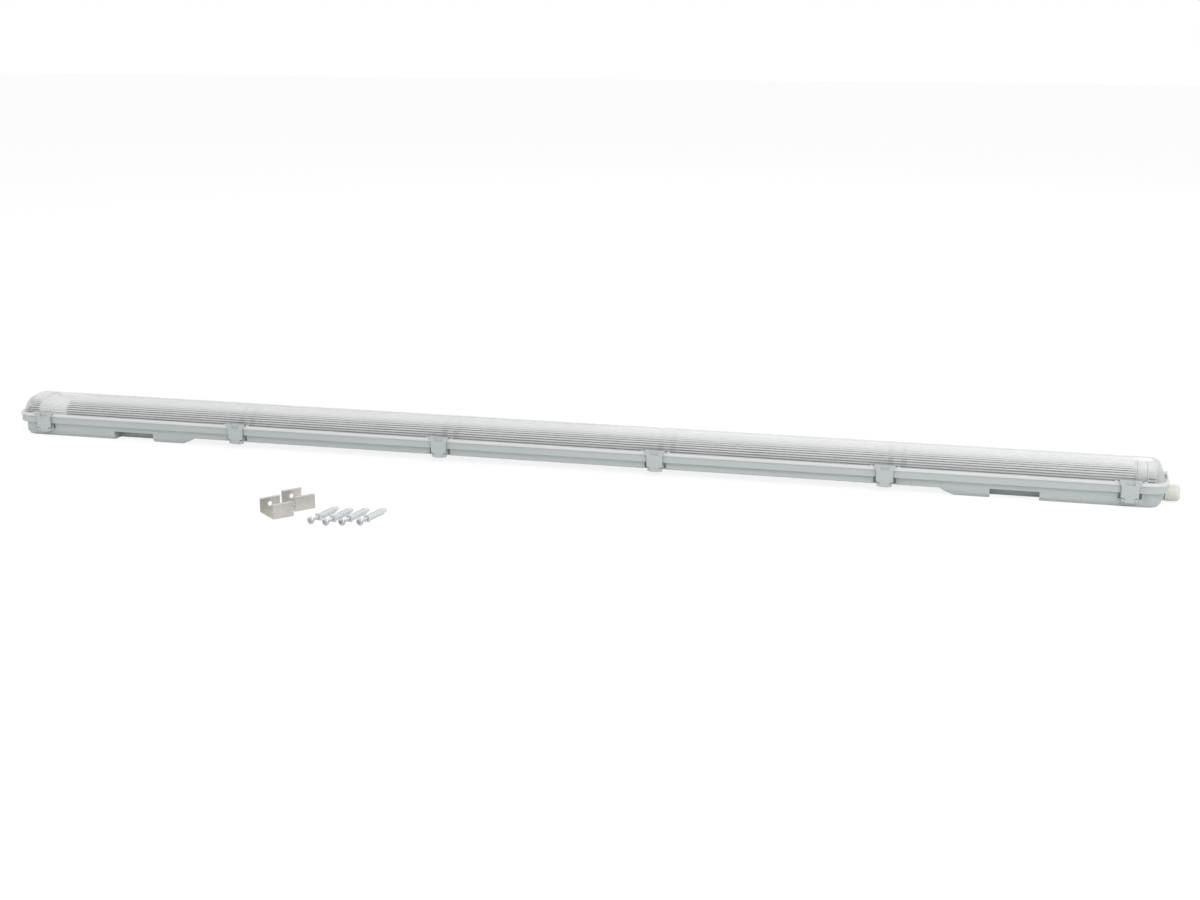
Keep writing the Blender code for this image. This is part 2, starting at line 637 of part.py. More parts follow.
def make_tray():
    low = TRAY_TOP - TRAY_SHEET
    outline = [(TRAY_HALF_WIDTH, low), (TRAY_HALF_WIDTH, TRAY_TOP + TRAY_EDGE),
               (TRAY_HALF_WIDTH - TRAY_SHEET, TRAY_TOP + TRAY_EDGE),
               (TRAY_HALF_WIDTH - TRAY_SHEET, TRAY_TOP)]
    outline += [(-y, z) for y, z in reversed(outline)]
    tray = add_object("gear_tray", prism(outline, -TRAY_HALF_LENGTH, TRAY_HALF_LENGTH,
                                         lambda y, z, x: (x, y, z)), "white_enamel")
    holes = bmesh.new()
    for x, y in tray_screw_places() + [(EARTH_SCREW_PLACE, EARTH_SCREW_OFFSET)]:
        rod(holes, (x, y, low - OVERRUN), (x, y, TRAY_TOP + OVERRUN), TRAY_SCREW_RADIUS + GAP,
            SMALL_SIDES)
    combine(tray, add_object("Tray holes", holes), "DIFFERENCE")


def tray_screw_places():
    return [(x, y) for x in (-TRAY_SCREW_PLACE, TRAY_SCREW_PLACE)
            for y in (-TRAY_SCREW_OFFSET, TRAY_SCREW_OFFSET)]


def pan_screw(name, x, y, length):
    """A pan-head screw that stands on the tray."""
    seat = TRAY_TOP + GAP
    profile = [(TRAY_SCREW_RADIUS, seat - length), (TRAY_SCREW_RADIUS, seat),
               (TRAY_SCREW_HEAD_RADIUS, seat), (TRAY_SCREW_HEAD_RADIUS, seat + TRAY_SCREW_HEAD / 2),
               (TRAY_SCREW_HEAD_RADIUS / 2, seat + TRAY_SCREW_HEAD)]
    add_object(name, spun(profile, lambda a, b, z: (x + a, y + b, z)), "zinc_steel")


def spun(profile, place, sides=ROUND_SIDES):
    """A solid of rings: profile is (radius, along), and place puts each point in space."""
    angles = [2 * math.pi * i / sides for i in range(sides)]
    return loft([[place(radius * math.cos(a), radius * math.sin(a), along) for a in angles]
                 for radius, along in profile])


def make_lampholder(side):
    """A holder that stands on the tray, with the recess of its rotor and a slot up to its top."""
    name = side_name(side)
    face = TUBE_HALF_LENGTH + GAP
    back = face + HOLDER_THICKNESS
    foot = TRAY_TOP + GAP
    outline = [(HOLDER_HALF_WIDTH, foot)]
    for step in range(SMALL_SIDES + 1):
        angle = math.pi * step / SMALL_SIDES
        outline.append((HOLDER_HALF_WIDTH * math.cos(angle),
                        TUBE_AXIS_HEIGHT + HOLDER_HALF_WIDTH * math.sin(angle)))
    outline.append((-HOLDER_HALF_WIDTH, foot))
    holder = add_object(f"lampholder_{name}", prism(outline, side * face, side * back,
                                                    lambda y, z, x: (x, y, z)), "white_plastic")
    recess = face + ROTOR_PLAY + ROTOR_THICKNESS + GAP
    bore = rod(bmesh.new(), (side * (face - OVERRUN), 0, TUBE_AXIS_HEIGHT),
               (side * recess, 0, TUBE_AXIS_HEIGHT), ROTOR_RADIUS + GAP, FINE_SIDES)
    combine(holder, add_object(f"Recess {name}", bore), "DIFFERENCE")
    slot = bmesh.new()
    top = TUBE_AXIS_HEIGHT + HOLDER_HALF_WIDTH + OVERRUN
    mirrored_box(slot, (face - OVERRUN, recess), (-ROTOR_SLOT_HALF_WIDTH, ROTOR_SLOT_HALF_WIDTH),
                 (TUBE_AXIS_HEIGHT, top), side, 1)
    combine(holder, add_object(f"Slot {name}", slot), "DIFFERENCE")

    start = face + ROTOR_PLAY
    end = start + ROTOR_THICKNESS - GAP
    disc = rod(bmesh.new(), (side * start, 0, TUBE_AXIS_HEIGHT), (side * end, 0, TUBE_AXIS_HEIGHT),
               ROTOR_RADIUS, FINE_SIDES)
    rotor = add_object(f"rotor_{name}", disc, "white_plastic")
    cut = bmesh.new()
    reach = ROTOR_RADIUS + OVERRUN
    mirrored_box(cut, (start - OVERRUN, end - ROTOR_BACK), (-reach, reach),
                 (TUBE_AXIS_HEIGHT - ROTOR_SLOT_HALF_WIDTH, TUBE_AXIS_HEIGHT + ROTOR_SLOT_HALF_WIDTH),
                 side, 1)
    combine(rotor, add_object(f"Rotor slot {name}", cut), "DIFFERENCE")


def make_tube():
    """The T8 tube body, open at both ends, with the strip that carries its light sources."""
    left = -TUBE_HALF_LENGTH + CAP_LENGTHS["left"] + GAP
    right = TUBE_HALF_LENGTH - CAP_LENGTHS["right"] - GAP
    bore = TUBE_RADIUS - TUBE_WALL
    turned("lamp_tube", [(right, TUBE_RADIUS), (left, TUBE_RADIUS), (left, bore), (right, bore)],
           TUBE_AXIS_HEIGHT, "frosted_tube")
    band_start = left + GAP
    band_end = band_start + LABEL_BAND_LENGTH
    band_bore = TUBE_RADIUS + GAP
    band_outer = band_bore + LABEL_BAND_THICKNESS
    turned("tube_label_band", [(band_end, band_outer), (band_start, band_outer),
                               (band_start, band_bore), (band_end, band_bore)],
           TUBE_AXIS_HEIGHT, "white_plastic")
    height = TUBE_AXIS_HEIGHT - BOARD_DROP
    lowest = BOARD_DROP + BOARD_THICKNESS
    half_width = math.sqrt((bore * math.cos(math.pi / FINE_SIDES)) ** 2 - lowest ** 2) - GAP
    board = box(bmesh.new(), (left + CAP_SPIGOT + GAP, -half_width, height - BOARD_THICKNESS),
                (right - CAP_SPIGOT - GAP, half_width, height))
    add_object("led_board", board, "board_white")


def make_cap(side):
    name = side_name(side)
    length = CAP_LENGTHS[name]
    outer_end = side * TUBE_HALF_LENGTH
    shoulder = side * (TUBE_HALF_LENGTH - length)
    spigot_end = side * (TUBE_HALF_LENGTH - length - CAP_SPIGOT)
    spigot = TUBE_RADIUS - TUBE_WALL - GAP
    edge = TUBE_WALL
    profile = [(TUBE_RADIUS - edge, outer_end), (TUBE_RADIUS, outer_end - side * edge),
               (TUBE_RADIUS, shoulder), (spigot, shoulder), (spigot, spigot_end)]
    body = spun(profile, lambda a, b, x: (x, a, TUBE_AXIS_HEIGHT + b), FINE_SIDES)
    cap = add_object(f"tube_cap_{name}", body, "white_plastic")
    holes = bmesh.new()
    for number, row in enumerate((-1, 1), 1):
        y = row * PIN_SPACING / 2
        root = side * (TUBE_HALF_LENGTH - PIN_ROOT)
        rod(holes, (root - side * GAP, y, TUBE_AXIS_HEIGHT),
            (outer_end + side * OVERRUN, y, TUBE_AXIS_HEIGHT), PIN_RADIUS + GAP, SMALL_SIDES)
        pin = rod(bmesh.new(), (root, y, TUBE_AXIS_HEIGHT),
                  (outer_end + side * PIN_LENGTH, y, TUBE_AXIS_HEIGHT), PIN_RADIUS, SMALL_SIDES)
        add_object(f"tube_pin_{name}_{number}", pin, "pin_metal")
    combine(cap, add_object(f"Pin holes {name}", holes), "DIFFERENCE")


def make_terminal_block():
    """The mains terminals on the floor of the foot by the gland, and the leads inside."""
    base = WALL + GAP
    low = (BLOCK_CENTRE - BLOCK_LENGTH / 2, -BLOCK_WIDTH / 2, base)
    high = (BLOCK_CENTRE + BLOCK_LENGTH / 2, BLOCK_WIDTH / 2, base + BLOCK_HEIGHT)
    block = add_object("terminal_block", box(bmesh.new(), low, high), "white_plastic")
    cuts = bmesh.new()
    x = BLOCK_CENTRE
    port_height = base + BLOCK_PORT_HEIGHT
    for number in (1, 2, 3):
        y = (number - 2) * BLOCK_SCREW_SPACING
        rod(cuts, (x, y, high[2] - BLOCK_SCREW_DEPTH), (x, y, high[2] + OVERRUN),
            BLOCK_SCREW_RADIUS + GAP, SMALL_SIDES)
        screw = rod(bmesh.new(), (x, y, high[2] - BLOCK_SCREW_DEPTH + GAP), (x, y, high[2] - GAP),
                    BLOCK_SCREW_RADIUS, SMALL_SIDES)
        add_object(f"terminal_screw_{number}", screw, "zinc_steel")
        for end, outward in ((low[0], -1), (high[0], 1)):
            rod(cuts, (end - outward * BLOCK_PORT_DEPTH, y, port_height),
                (end + outward * OVERRUN, y, port_height), BLOCK_PORT_RADIUS, SMALL_SIDES)
    combine(block, add_object("Block cuts", cuts), "DIFFERENCE")

    seat = high[0] - BLOCK_PORT_DEPTH + GAP
    rise_x = TRAY_HALF_LENGTH + WIRE_RISE_GAP + WIRE_RADIUS
    holder_back = TUBE_HALF_LENGTH + GAP + HOLDER_THICKNESS + GAP
    for name, y in (("supply_wire", -WIRE_OFFSET), ("return_wire", WIRE_OFFSET)):
        block_y = math.copysign(BLOCK_SCREW_SPACING, y)
        route = [(seat, block_y, port_height), (high[0] + WIRE_DROP, block_y, port_height),
                 ((high[0] + rise_x) / 2, y, port_height), (rise_x - WIRE_DROP, y, port_height),
                 (rise_x, y, port_height + WIRE_DROP), (rise_x, y, TRAY_TOP - WIRE_DROP),
                 (rise_x, y, TRAY_TOP + WIRE_RADIUS), (rise_x - WIRE_RADIUS, y, TRAY_TOP + WIRE_DROP),
                 (holder_back, y, TRAY_TOP + WIRE_DROP + WIRE_RADIUS)]
        make_wire(name, route)


def smooth_route(points, per_span=3):
    """Points of a smooth curve through the given ones, ends held square to what they meet."""
    points = [Vector(p) for p in points]
    padded = [2 * points[0] - points[1]] + points + [2 * points[-1] - points[-2]]
    route = []
    for i in range(len(points) - 1):
        before, start, end, after = padded[i:i + 4]
        for step in range(per_span):
            t = step / per_span
            route.append(0.5 * ((2 * start) + (end - before) * t
                                + (2 * before - 5 * start + 4 * end - after) * t ** 2
                                + (3 * start - before - 3 * end + after) * t ** 3))
    route.append(points[-1])
    return route


def make_wire(name, points):
    curve = bpy.data.curves.new(name, "CURVE")
    curve.dimensions = "3D"
    curve.bevel_depth = WIRE_RADIUS
    curve.bevel_resolution = 2
    curve.use_fill_caps = True
    spline = curve.splines.new("POLY")
    route = smooth_route(points)
    spline.points.add(len(route) - 1)
    for target, point in zip(spline.points, route):
        target.co = (*point, 1)
    wire = bpy.data.objects.new(name, curve)
    PARTS.objects.link(wire)
    curve.materials.append(finish_material("wire_dark"))


def make_gland():
    """Body through the end wall, sealing ring, dome nut outside and locknut inside."""
    wall = WALL_HALF_LENGTH
    inside = wall - THREAD_LENGTH
    collar = wall + GAP
    collar_end = collar + COLLAR_LENGTH
    neck_end = collar_end + NECK_LENGTH
    edge = COLLAR_EDGE
    turned("gland_body", [(neck_end, NECK_RADIUS), (collar_end, NECK_RADIUS),
                          (collar_end, COLLAR_RADIUS - edge), (collar_end - edge, COLLAR_RADIUS),
                          (collar, COLLAR_RADIUS), (collar, THREAD_RADIUS), (inside, THREAD_RADIUS),
                          (inside, GLAND_BORE), (neck_end, GLAND_BORE)], GLAND_HEIGHT, "gland_cream")
    nut = collar_end + NUT_SEAM
    nut_end = nut + NUT_LENGTH
    shoulder = nut_end - NUT_SHOULDER
    bore = NECK_RADIUS + GAP
    dome = [(nut_end - NUT_DOME * (1 - math.sin(angle)),
             NUT_END_RADIUS + (NUT_RADIUS - NUT_END_RADIUS) * math.cos(angle))
            for angle in (math.pi / 2 * (CORNER_STEPS - i) / CORNER_STEPS
                          for i in range(CORNER_STEPS + 1))]
    turned("gland_nut", [(nut_end, NUT_MOUTH_RADIUS)] + dome
           + [(nut, NUT_RADIUS), (nut, bore), (shoulder, bore), (shoulder, NUT_MOUTH_RADIUS)],
           GLAND_HEIGHT, "gland_cream")
    seal, seal_end = neck_end + GAP, shoulder - GAP
    turned("gland_seal", [(seal_end, NECK_RADIUS), (seal, NECK_RADIUS), (seal, SEAL_BORE),
                          (seal_end, SEAL_BORE)], GLAND_HEIGHT, "seal_foam")
    lock = wall - WALL - GAP
    lock_end = lock - LOCKNUT_LENGTH
    lock_bore = THREAD_RADIUS + GAP
    turned("gland_locknut", [(lock, LOCKNUT_RADIUS), (lock_end, LOCKNUT_RADIUS),
                             (lock_end, lock_bore), (lock, lock_bore)],
           GLAND_HEIGHT, "gland_cream", ROUND_SIDES)


def bracket_outline():
    """The bent sheet seen from its end: a channel with in-turned lips."""
    half, top, sheet, lip = BRACKET_WIDTH / 2, BRACKET_HEIGHT, BRACKET_SHEET, BRACKET_LIP
    right = [(half - sheet, 0), (half, sheet), (half, top), (half - sheet - lip, top),
             (half - sheet - lip, top - sheet), (half - sheet, top - sheet), (half - sheet, sheet)]
    return right + [(-y, z) for y, z in reversed(right)]


def oval(centre_x, half_x, half_y, low, high):
    """A long round-ended cutter through the bracket's base."""
    ring = []
    for i in range(ROUND_SIDES):
        angle = 2 * math.pi * i / ROUND_SIDES
        ring.append((centre_x + half_x * math.cos(angle), half_y * math.sin(angle)))
    return prism(ring, low, high, lambda x, y, z: (x, y, z))


def make_bracket(number, place):
    name = f"mounting_bracket_{number}"
    half = BRACKET_LENGTH / 2
    bracket = add_object(name, prism(bracket_outline(), -half, half,
                                     lambda x, z, y: (x, y, z)), "stainless")
    reach = BRACKET_SHEET + OVERRUN
    cutters = [oval(-BRACKET_SLOT_PLACE, BRACKET_SLOT_HALF_WIDTH, BRACKET_SLOT_HALF_LENGTH,
                    -OVERRUN, reach),
               oval(BRACKET_OVAL_PLACE, BRACKET_OVAL_HALF_WIDTH, BRACKET_OVAL_HALF_LENGTH,
                    -OVERRUN, reach),
               rod(bmesh.new(), (-BRACKET_WIDTH / 2 - OVERRUN, 0, BRACKET_HOLE_HEIGHT),
                   (-BRACKET_WIDTH / 2 + reach, 0, BRACKET_HOLE_HEIGHT), BRACKET_HOLE_RADIUS)]
    things = [bracket]
    for order, cutter in enumerate(cutters):
        things.append(add_object(f"{name} hole {order}", cutter))
        combine(bracket, things[-1], "DIFFERENCE")
    for thing in things:
        thing.location = (*place, 0)
        thing.rotation_euler = (0, 0, BRACKET_TURN)


def make_wall_fixings():
    """Four screws part-way in their plugs, lying on the floor."""
    turn = Matrix.Rotation(SCREW_TURN, 4, "Z")
    bore = SCREW_RADIUS + GAP
    bore_end = SCREW_HEAD_LENGTH + SCREW_LENGTH + GAP
    plug_start = SCREW_HEAD_LENGTH + SCREW_OUTSIDE
    plug_end = plug_start + PLUG_LENGTH
    nose = plug_end - PLUG_NOSE_LENGTH
    collar = plug_start + PLUG_COLLAR_LENGTH
    for number, (x, y) in enumerate(SCREW_PLACES, 1):
        stand = Matrix.Translation((x, y, SCREW_HEAD_RADIUS)) @ turn

        def place(a, b, along, stand=stand):
            return stand @ Vector((along, a, b))

        screw = [(SCREW_HEAD_RADIUS / 2, 0), (SCREW_HEAD_RADIUS, SCREW_HEAD_LENGTH / 2),
                 (SCREW_HEAD_RADIUS, SCREW_HEAD_LENGTH), (SCREW_RADIUS, SCREW_HEAD_LENGTH),
                 (SCREW_RADIUS, SCREW_HEAD_LENGTH + SCREW_LENGTH)]
        plug = [(bore, bore_end), (bore, plug_start), (PLUG_COLLAR_RADIUS, plug_start),
                (PLUG_COLLAR_RADIUS, collar), (PLUG_RADIUS, collar),
                (PLUG_RADIUS, nose), (PLUG_NOSE_RADIUS, plug_end)]
        add_object(f"bracket_screw_{number}", spun(screw, place), "zinc_steel")
        add_object(f"wall_plug_{number}", spun(plug, place), "plug_plastic")


clear_scene()
PARTS = new_collection("Vapor tight light fixture")
CUTTERS = new_collection("Cutters")
make_housing()
make_gasket()
make_cover()
make_clips()
make_tray()
for screw_number, screw_place in enumerate(tray_screw_places(), 1):
    pan_screw(f"tray_screw_{screw_number}", *screw_place, TRAY_SCREW_LENGTH)
pan_screw("earth_screw", EARTH_SCREW_PLACE, EARTH_SCREW_OFFSET, EARTH_SCREW_LENGTH)
make_tube()
for end_side in (-1, 1):
    make_lampholder(end_side)
    make_cap(end_side)
make_terminal_block()
make_gland()
for bracket_number, bracket_place in enumerate(BRACKET_PLACES, 1):
    make_bracket(bracket_number, bracket_place)
make_wall_fixings()
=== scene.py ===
"""Vapor tight light fixture: dressed pieces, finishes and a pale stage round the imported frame."""
import json
import math

import bmesh
import bpy
from mathutils import Matrix, Vector


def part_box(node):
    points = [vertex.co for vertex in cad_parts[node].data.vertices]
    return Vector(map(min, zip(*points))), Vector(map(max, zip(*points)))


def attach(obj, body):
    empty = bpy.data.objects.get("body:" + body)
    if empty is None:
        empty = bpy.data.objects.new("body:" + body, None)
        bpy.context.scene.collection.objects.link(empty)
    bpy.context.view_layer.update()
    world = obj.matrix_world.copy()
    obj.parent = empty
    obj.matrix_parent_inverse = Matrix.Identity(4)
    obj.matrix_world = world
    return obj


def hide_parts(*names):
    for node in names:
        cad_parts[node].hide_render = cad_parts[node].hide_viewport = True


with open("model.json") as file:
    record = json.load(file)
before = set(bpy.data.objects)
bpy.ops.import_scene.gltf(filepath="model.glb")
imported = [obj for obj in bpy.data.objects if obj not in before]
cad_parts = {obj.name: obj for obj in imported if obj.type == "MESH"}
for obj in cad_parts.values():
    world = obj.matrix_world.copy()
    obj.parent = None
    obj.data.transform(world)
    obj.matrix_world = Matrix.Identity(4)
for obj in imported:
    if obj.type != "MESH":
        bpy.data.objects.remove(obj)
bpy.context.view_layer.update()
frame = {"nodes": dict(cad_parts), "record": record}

bl_info = {
    "name": "Vapor tight light fixture",
    "version": (1, 0, 0),
    "blender": (4, 5, 0),
    "location": "3D View > Sidebar > Fixture",
    "description": "Builds the ribbed cover, clips, housing, lamp and loose fixings of the fixture",
    "category": "Object",
}

PHOTO_WIDTH = 1200
MERGE_DISTANCE = 1e-6
LEVEL_TOLERANCE = 1e-7
FLAT_ANGLE = math.radians(0.5)
ROUNDING_ANGLE = math.radians(36)
SMALL_EDGE = 0.0003


def linear(level):
    """A grey level of 0 to 255 as linear light."""
    share = level / 255
    return share / 12.92 if share <= 0.04045 else ((share + 0.055) / 1.055) ** 2.4


def tint(red, green, blue):
    return tuple(linear(level) for level in (red, green, blue))


def colour_prop(name, description, default):
    return bpy.props.FloatVectorProperty(name=name, description=description, default=default,
                                         subtype="COLOR", size=3, min=0, max=1)


def length_prop(name, description, default):
    return bpy.props.FloatProperty(name=name, description=description, default=default,
                                   unit="LENGTH", subtype="DISTANCE", min=0, precision=5)


# ---------------------------------------------------------------- settings

class CoverSettings(bpy.types.PropertyGroup):
    rib_pitch: length_prop("Rib pitch", "Distance between the ribs inside the cover", 0.0035)
    rib_depth: length_prop("Rib depth", "How far a rib stands into the cover", 0.0008)
    rib_end: length_prop("Rib end", "Where the ribs stop, from the middle of the cover", 0.7580)
    wall: length_prop("Wall", "Thickness of the cover between its ribs", 0.0012)
    clear: colour_prop("Clear plastic", "Colour of the cover's plastic", tint(247, 248, 248))
    # The dark rib colour is painted shade, standing in for the dark that the ribs' refraction
    # shows.
    shade: colour_prop("Rib shade", "Colour of the dark flank of a rib", tint(46, 52, 58))


class HousingSettings(bpy.types.PropertyGroup):
    edge: length_prop("Clip rounding", "Width that sets the rounding of the clips' edges", 0.0004)
    colour: colour_prop("Housing grey", "Colour of the moulded housing", tint(184, 191, 191))
    clips: colour_prop("Clip grey", "Colour of the cover clips", tint(184, 191, 191))
    gland: colour_prop("Gland cream", "Colour of the cable gland", tint(214, 216, 206))


class LampSettings(bpy.types.PropertyGroup):
    glass: colour_prop("Frosted glass", "Colour of the tube", tint(236, 238, 240))
    cap: colour_prop("End caps", "Colour of the caps and holders", tint(240, 241, 241))
    enamel: colour_prop("Tray enamel", "Colour of the gear tray", tint(238, 239, 239))
    pin: colour_prop("Pin plating", "Colour of the contact pins", tint(214, 204, 170))
    lead: colour_prop("Leads", "Colour of the leads and lead slots", tint(38, 39, 42))


class FixingSettings(bpy.types.PropertyGroup):
    steel: colour_prop("Stainless steel", "Colour of the wall brackets", tint(205, 202, 196))
    zinc: colour_prop("Zinc", "Colour of the screws", tint(196, 198, 200))
    plug: colour_prop("Plug grey", "Colour of the wall plugs", tint(214, 218, 220))


class StageSettings(bpy.types.PropertyGroup):
    azimuth: bpy.props.FloatProperty(name="Azimuth", description="Camera angle round the fixture",
                                     default=0.24637, subtype="ANGLE")
    elevation: bpy.props.FloatProperty(name="Elevation", description="Camera angle above the floor",
                                       default=0.25564, subtype="ANGLE")
    distance: length_prop("Distance", "From the camera to its target", 2.2290)
    floor: colour_prop("Floor", "Colour of the floor", (0.86, 0.86, 0.86))


class FixtureSettings(bpy.types.PropertyGroup):
    cover: bpy.props.PointerProperty(type=CoverSettings)
    housing: bpy.props.PointerProperty(type=HousingSettings)
    lamp: bpy.props.PointerProperty(type=LampSettings)
    fixing: bpy.props.PointerProperty(type=FixingSettings)
    stage: bpy.props.PointerProperty(type=StageSettings)


# ---------------------------------------------------------------- finishes

class Sock:
    """A shader socket that takes part in plain arithmetic."""

    def __init__(self, finish, socket):
        self.finish, self.socket = finish, socket

    def __add__(self, other):
        return self.finish.math("ADD", self, other)

    def __sub__(self, other):
        return self.finish.math("SUBTRACT", self, other)

    def __rsub__(self, other):
        return self.finish.math("SUBTRACT", other, self)

    def __mul__(self, other):
        return self.finish.math("MULTIPLY", self, other)

    def __truediv__(self, other):
        return self.finish.math("DIVIDE", self, other)

    __radd__ = __add__
    __rmul__ = __mul__


class Finish:
    """A material under construction. Expressions on its sockets add their nodes."""

    def __init__(self, name):
        self.material = bpy.data.materials.new(name)
        self.material.use_nodes = True
        self.tree = self.material.node_tree
        self.shader = self.tree.nodes["Principled BSDF"]

    def feed(self, socket, value):
        if isinstance(value, Sock):
            self.tree.links.new(value.socket, socket)
        elif socket.type == "RGBA" and len(value) == 3:
            socket.default_value = (*value, 1)
        else:
            socket.default_value = value

    def node(self, kind, settings, inputs, output=0):
        node = self.tree.nodes.new(kind)
        for key, value in settings.items():
            setattr(node, key, value)
        for key, value in inputs.items():
            self.feed(node.inputs[key], value)
        return Sock(self, node.outputs[output])

    def math(self, operation, *values):
        return self.node("ShaderNodeMath", {"operation": operation}, dict(enumerate(values)))

    def mix(self, share, first, second):
        return self.node("ShaderNodeMix", {"data_type": "RGBA"},
                         {0: share, 6: first, 7: second}, 2)

    def place(self, scale=None):
        """The piece's own coordinates, divided by the scale if there is one."""
        here = self.node("ShaderNodeTexCoord", {}, {}, "Object")
        if scale is None:
            return here
        return self.node("ShaderNodeMapping", {"vector_type": "TEXTURE"},
                         {"Vector": here, "Scale": scale})

    def axis(self, letter):
        return self.node("ShaderNodeSeparateXYZ", {}, {0: self.place()}, letter)

    def noise(self, place, scale, detail=2, roughness=0.5):
        return self.node("ShaderNodeTexNoise", {},
                         {"Vector": place, "Scale": scale, "Detail": detail,
                          "Roughness": roughness})

    def ramp(self, value, low, high):
        """Value rescaled so that low gives 0 and high gives 1, and no further."""
        return self.node("ShaderNodeMapRange", {"interpolation_type": "SMOOTHSTEP"},
                         {"Value": value, "From Min": low, "From Max": high})

    def bump(self, height, distance):
        self.set("Normal", self.node("ShaderNodeBump", {},
                                     {"Height": height, "Distance": distance, "Strength": 1.0}))

    def set(self, name, value):
        self.feed(self.shader.inputs[name], value)


def shaded(colour, share):
    return tuple(min(1, channel * share) for channel in colour)


def moulded(name, colour, roughness):
    """Injection-moulded plastic: a fine spark-eroded grain, soft flow marks and a little dust."""
    finish = Finish(name)
    place = finish.place()
    flow = finish.noise(finish.place(scale=(6, 1, 1)), 18, 3)
    fine = finish.noise(place, 1500, 2, 0.6)
    base = finish.mix(finish.ramp(flow, 0.35, 0.65), shaded(colour, 0.975), shaded(colour, 1.02))
    dust = finish.ramp(finish.noise(place, 260, 4, 0.7), 0.60, 0.78)
    finish.set("Base Color", finish.mix(dust * 0.12, base, shaded(colour, 0.86)))
    finish.set("Roughness", roughness + (flow - 0.5) * 0.16 + (fine - 0.5) * 0.08)
    finish.bump(fine, 0.00002)
    return finish.material


def metal(name, colour, roughness):
    """Rolled or plated metal: fine lines along the sheet and faint handling marks."""
    finish = Finish(name)
    lines = finish.noise(finish.place(scale=(30, 1, 1)), 2600, 3, 0.7)
    marks = finish.noise(finish.place(), 90, 4, 0.65)
    smear = finish.ramp(marks, 0.4, 0.7)
    finish.set("Base Color", finish.mix(smear * 0.6 + lines * 0.3, colour, shaded(colour, 0.84)))
    finish.set("Metallic", 1.0)
    finish.set("Roughness", roughness + lines * 0.14 + smear * 0.08)
    finish.bump(lines, 0.000012)
    return finish.material


def enamel(name, colour, roughness):
    """Baked paint on steel: glossy, with a slight orange peel."""
    finish = Finish(name)
    peel = finish.noise(finish.place(), 520, 1)
    cloud = finish.noise(finish.place(), 22, 3)
    finish.set("Base Color", finish.mix(cloud, shaded(colour, 0.97), colour))
    finish.set("Roughness", roughness + (cloud - 0.5) * 0.1)
    finish.set("Coat Weight", 0.3)
    finish.bump(peel, 0.00002)
    return finish.material


def frosted(name, colour):
    """Frosted tube: bright, with a soft sheen and a faint cloudiness along its length."""
    finish = Finish(name)
    cloud = finish.noise(finish.place(scale=(12, 1, 1)), 40, 3)
    frost = finish.noise(finish.place(), 1800, 1)
    finish.set("Base Color", finish.mix(cloud, shaded(colour, 0.97), colour))
    finish.set("Roughness", 0.22 + frost * 0.12)
    finish.set("Coat Weight", 0.4)
    finish.set("Coat Roughness", 0.15)
    return finish.material


def rubbery(name, colour, roughness):
    """Soft dark plastic or rubber with a dull bloom."""
    finish = Finish(name)
    bloom = finish.noise(finish.place(), 320, 4, 0.7)
    finish.set("Base Color", finish.mix(bloom, shaded(colour, 0.8), shaded(colour, 1.3)))
    finish.set("Roughness", roughness + (bloom - 0.5) * 0.2)
    finish.bump(bloom, 0.00003)
    return finish.material


def foam(name, colour):
    """Closed-cell foam: small dark cells under a dull skin."""
    finish = Finish(name)
    cells = finish.node("ShaderNodeTexVoronoi", {}, {"Vector": finish.place(), "Scale": 1400}, 0)
    finish.set("Base Color", finish.mix(cells, shaded(colour, 0.6), shaded(colour, 1.3)))
    finish.set("Roughness", 0.86 + cells * 0.1)
    finish.bump(cells, 0.0001)
    return finish.material


# ---------------------------------------------------------------- bench tools

def deselect():
    if bpy.context.object and bpy.context.object.mode != "OBJECT":
        bpy.ops.object.mode_set(mode="OBJECT")
    bpy.ops.object.select_all(action="DESELECT")


def activate(thing):
    deselect()
    thing.select_set(True)
    bpy.context.view_layer.objects.active = thing


def named(name):
    thing = bpy.context.active_object
    thing.name = thing.data.name = name
    return thing


def edit(thing):
    activate(thing)
    bpy.ops.object.mode_set(mode="EDIT")


def pick(thing, kind, chosen):
    """In edit mode, select the vertices, edges or faces that chosen accepts, and no others."""
    mode = {"verts": "VERT", "edges": "EDGE", "faces": "FACE"}[kind]
    bpy.ops.mesh.select_mode(type=mode)
    bpy.ops.mesh.select_all(action="DESELECT")
    shape = bmesh.from_edit_mesh(thing.data)
    for item in getattr(shape, kind):
        item.select_set(chosen(item))
    shape.select_flush_mode()
    bmesh.update_edit_mesh(thing.data)


def settle(thing):
    """Put the piece's place, turn and size into its mesh."""
    activate(thing)
    bpy.ops.object.transform_apply(location=True, rotation=True, scale=True)


def apply(thing, kind, **settings):
    activate(thing)
    step = thing.modifiers.new(kind.title(), kind)
    for key, value in settings.items():
        setattr(step, key, value)
    bpy.ops.object.modifier_apply(modifier=step.name)


def smooth(thing, degrees):
    activate(thing)
    bpy.ops.object.shade_smooth_by_angle(angle=math.radians(degrees))


def dress(thing, body, slot, *materials):
    """Give a finished piece its materials and its body. The slot is not used."""
    numbers = [face.material_index for face in thing.data.polygons]
    thing.data.materials.clear()
    for material in materials:
        thing.data.materials.append(material)
    if len(materials) > 1:
        thing.data.polygons.foreach_set("material_index", numbers)
    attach(thing, body)


def bench_copy(node, name):
    """A merged copy of a CAD node's mesh, with flat areas made one face again."""
    thing = bpy.data.objects.new(name, frame["nodes"][node].data.copy())
    thing.data.name = name
    bpy.context.scene.collection.objects.link(thing)
    edit(thing)
    bpy.ops.mesh.select_all(action="SELECT")
    bpy.ops.mesh.remove_doubles(threshold=MERGE_DISTANCE)
    bpy.ops.mesh.dissolve_limited(angle_limit=FLAT_ANGLE)
    bpy.ops.object.mode_set(mode="OBJECT")
    return thing


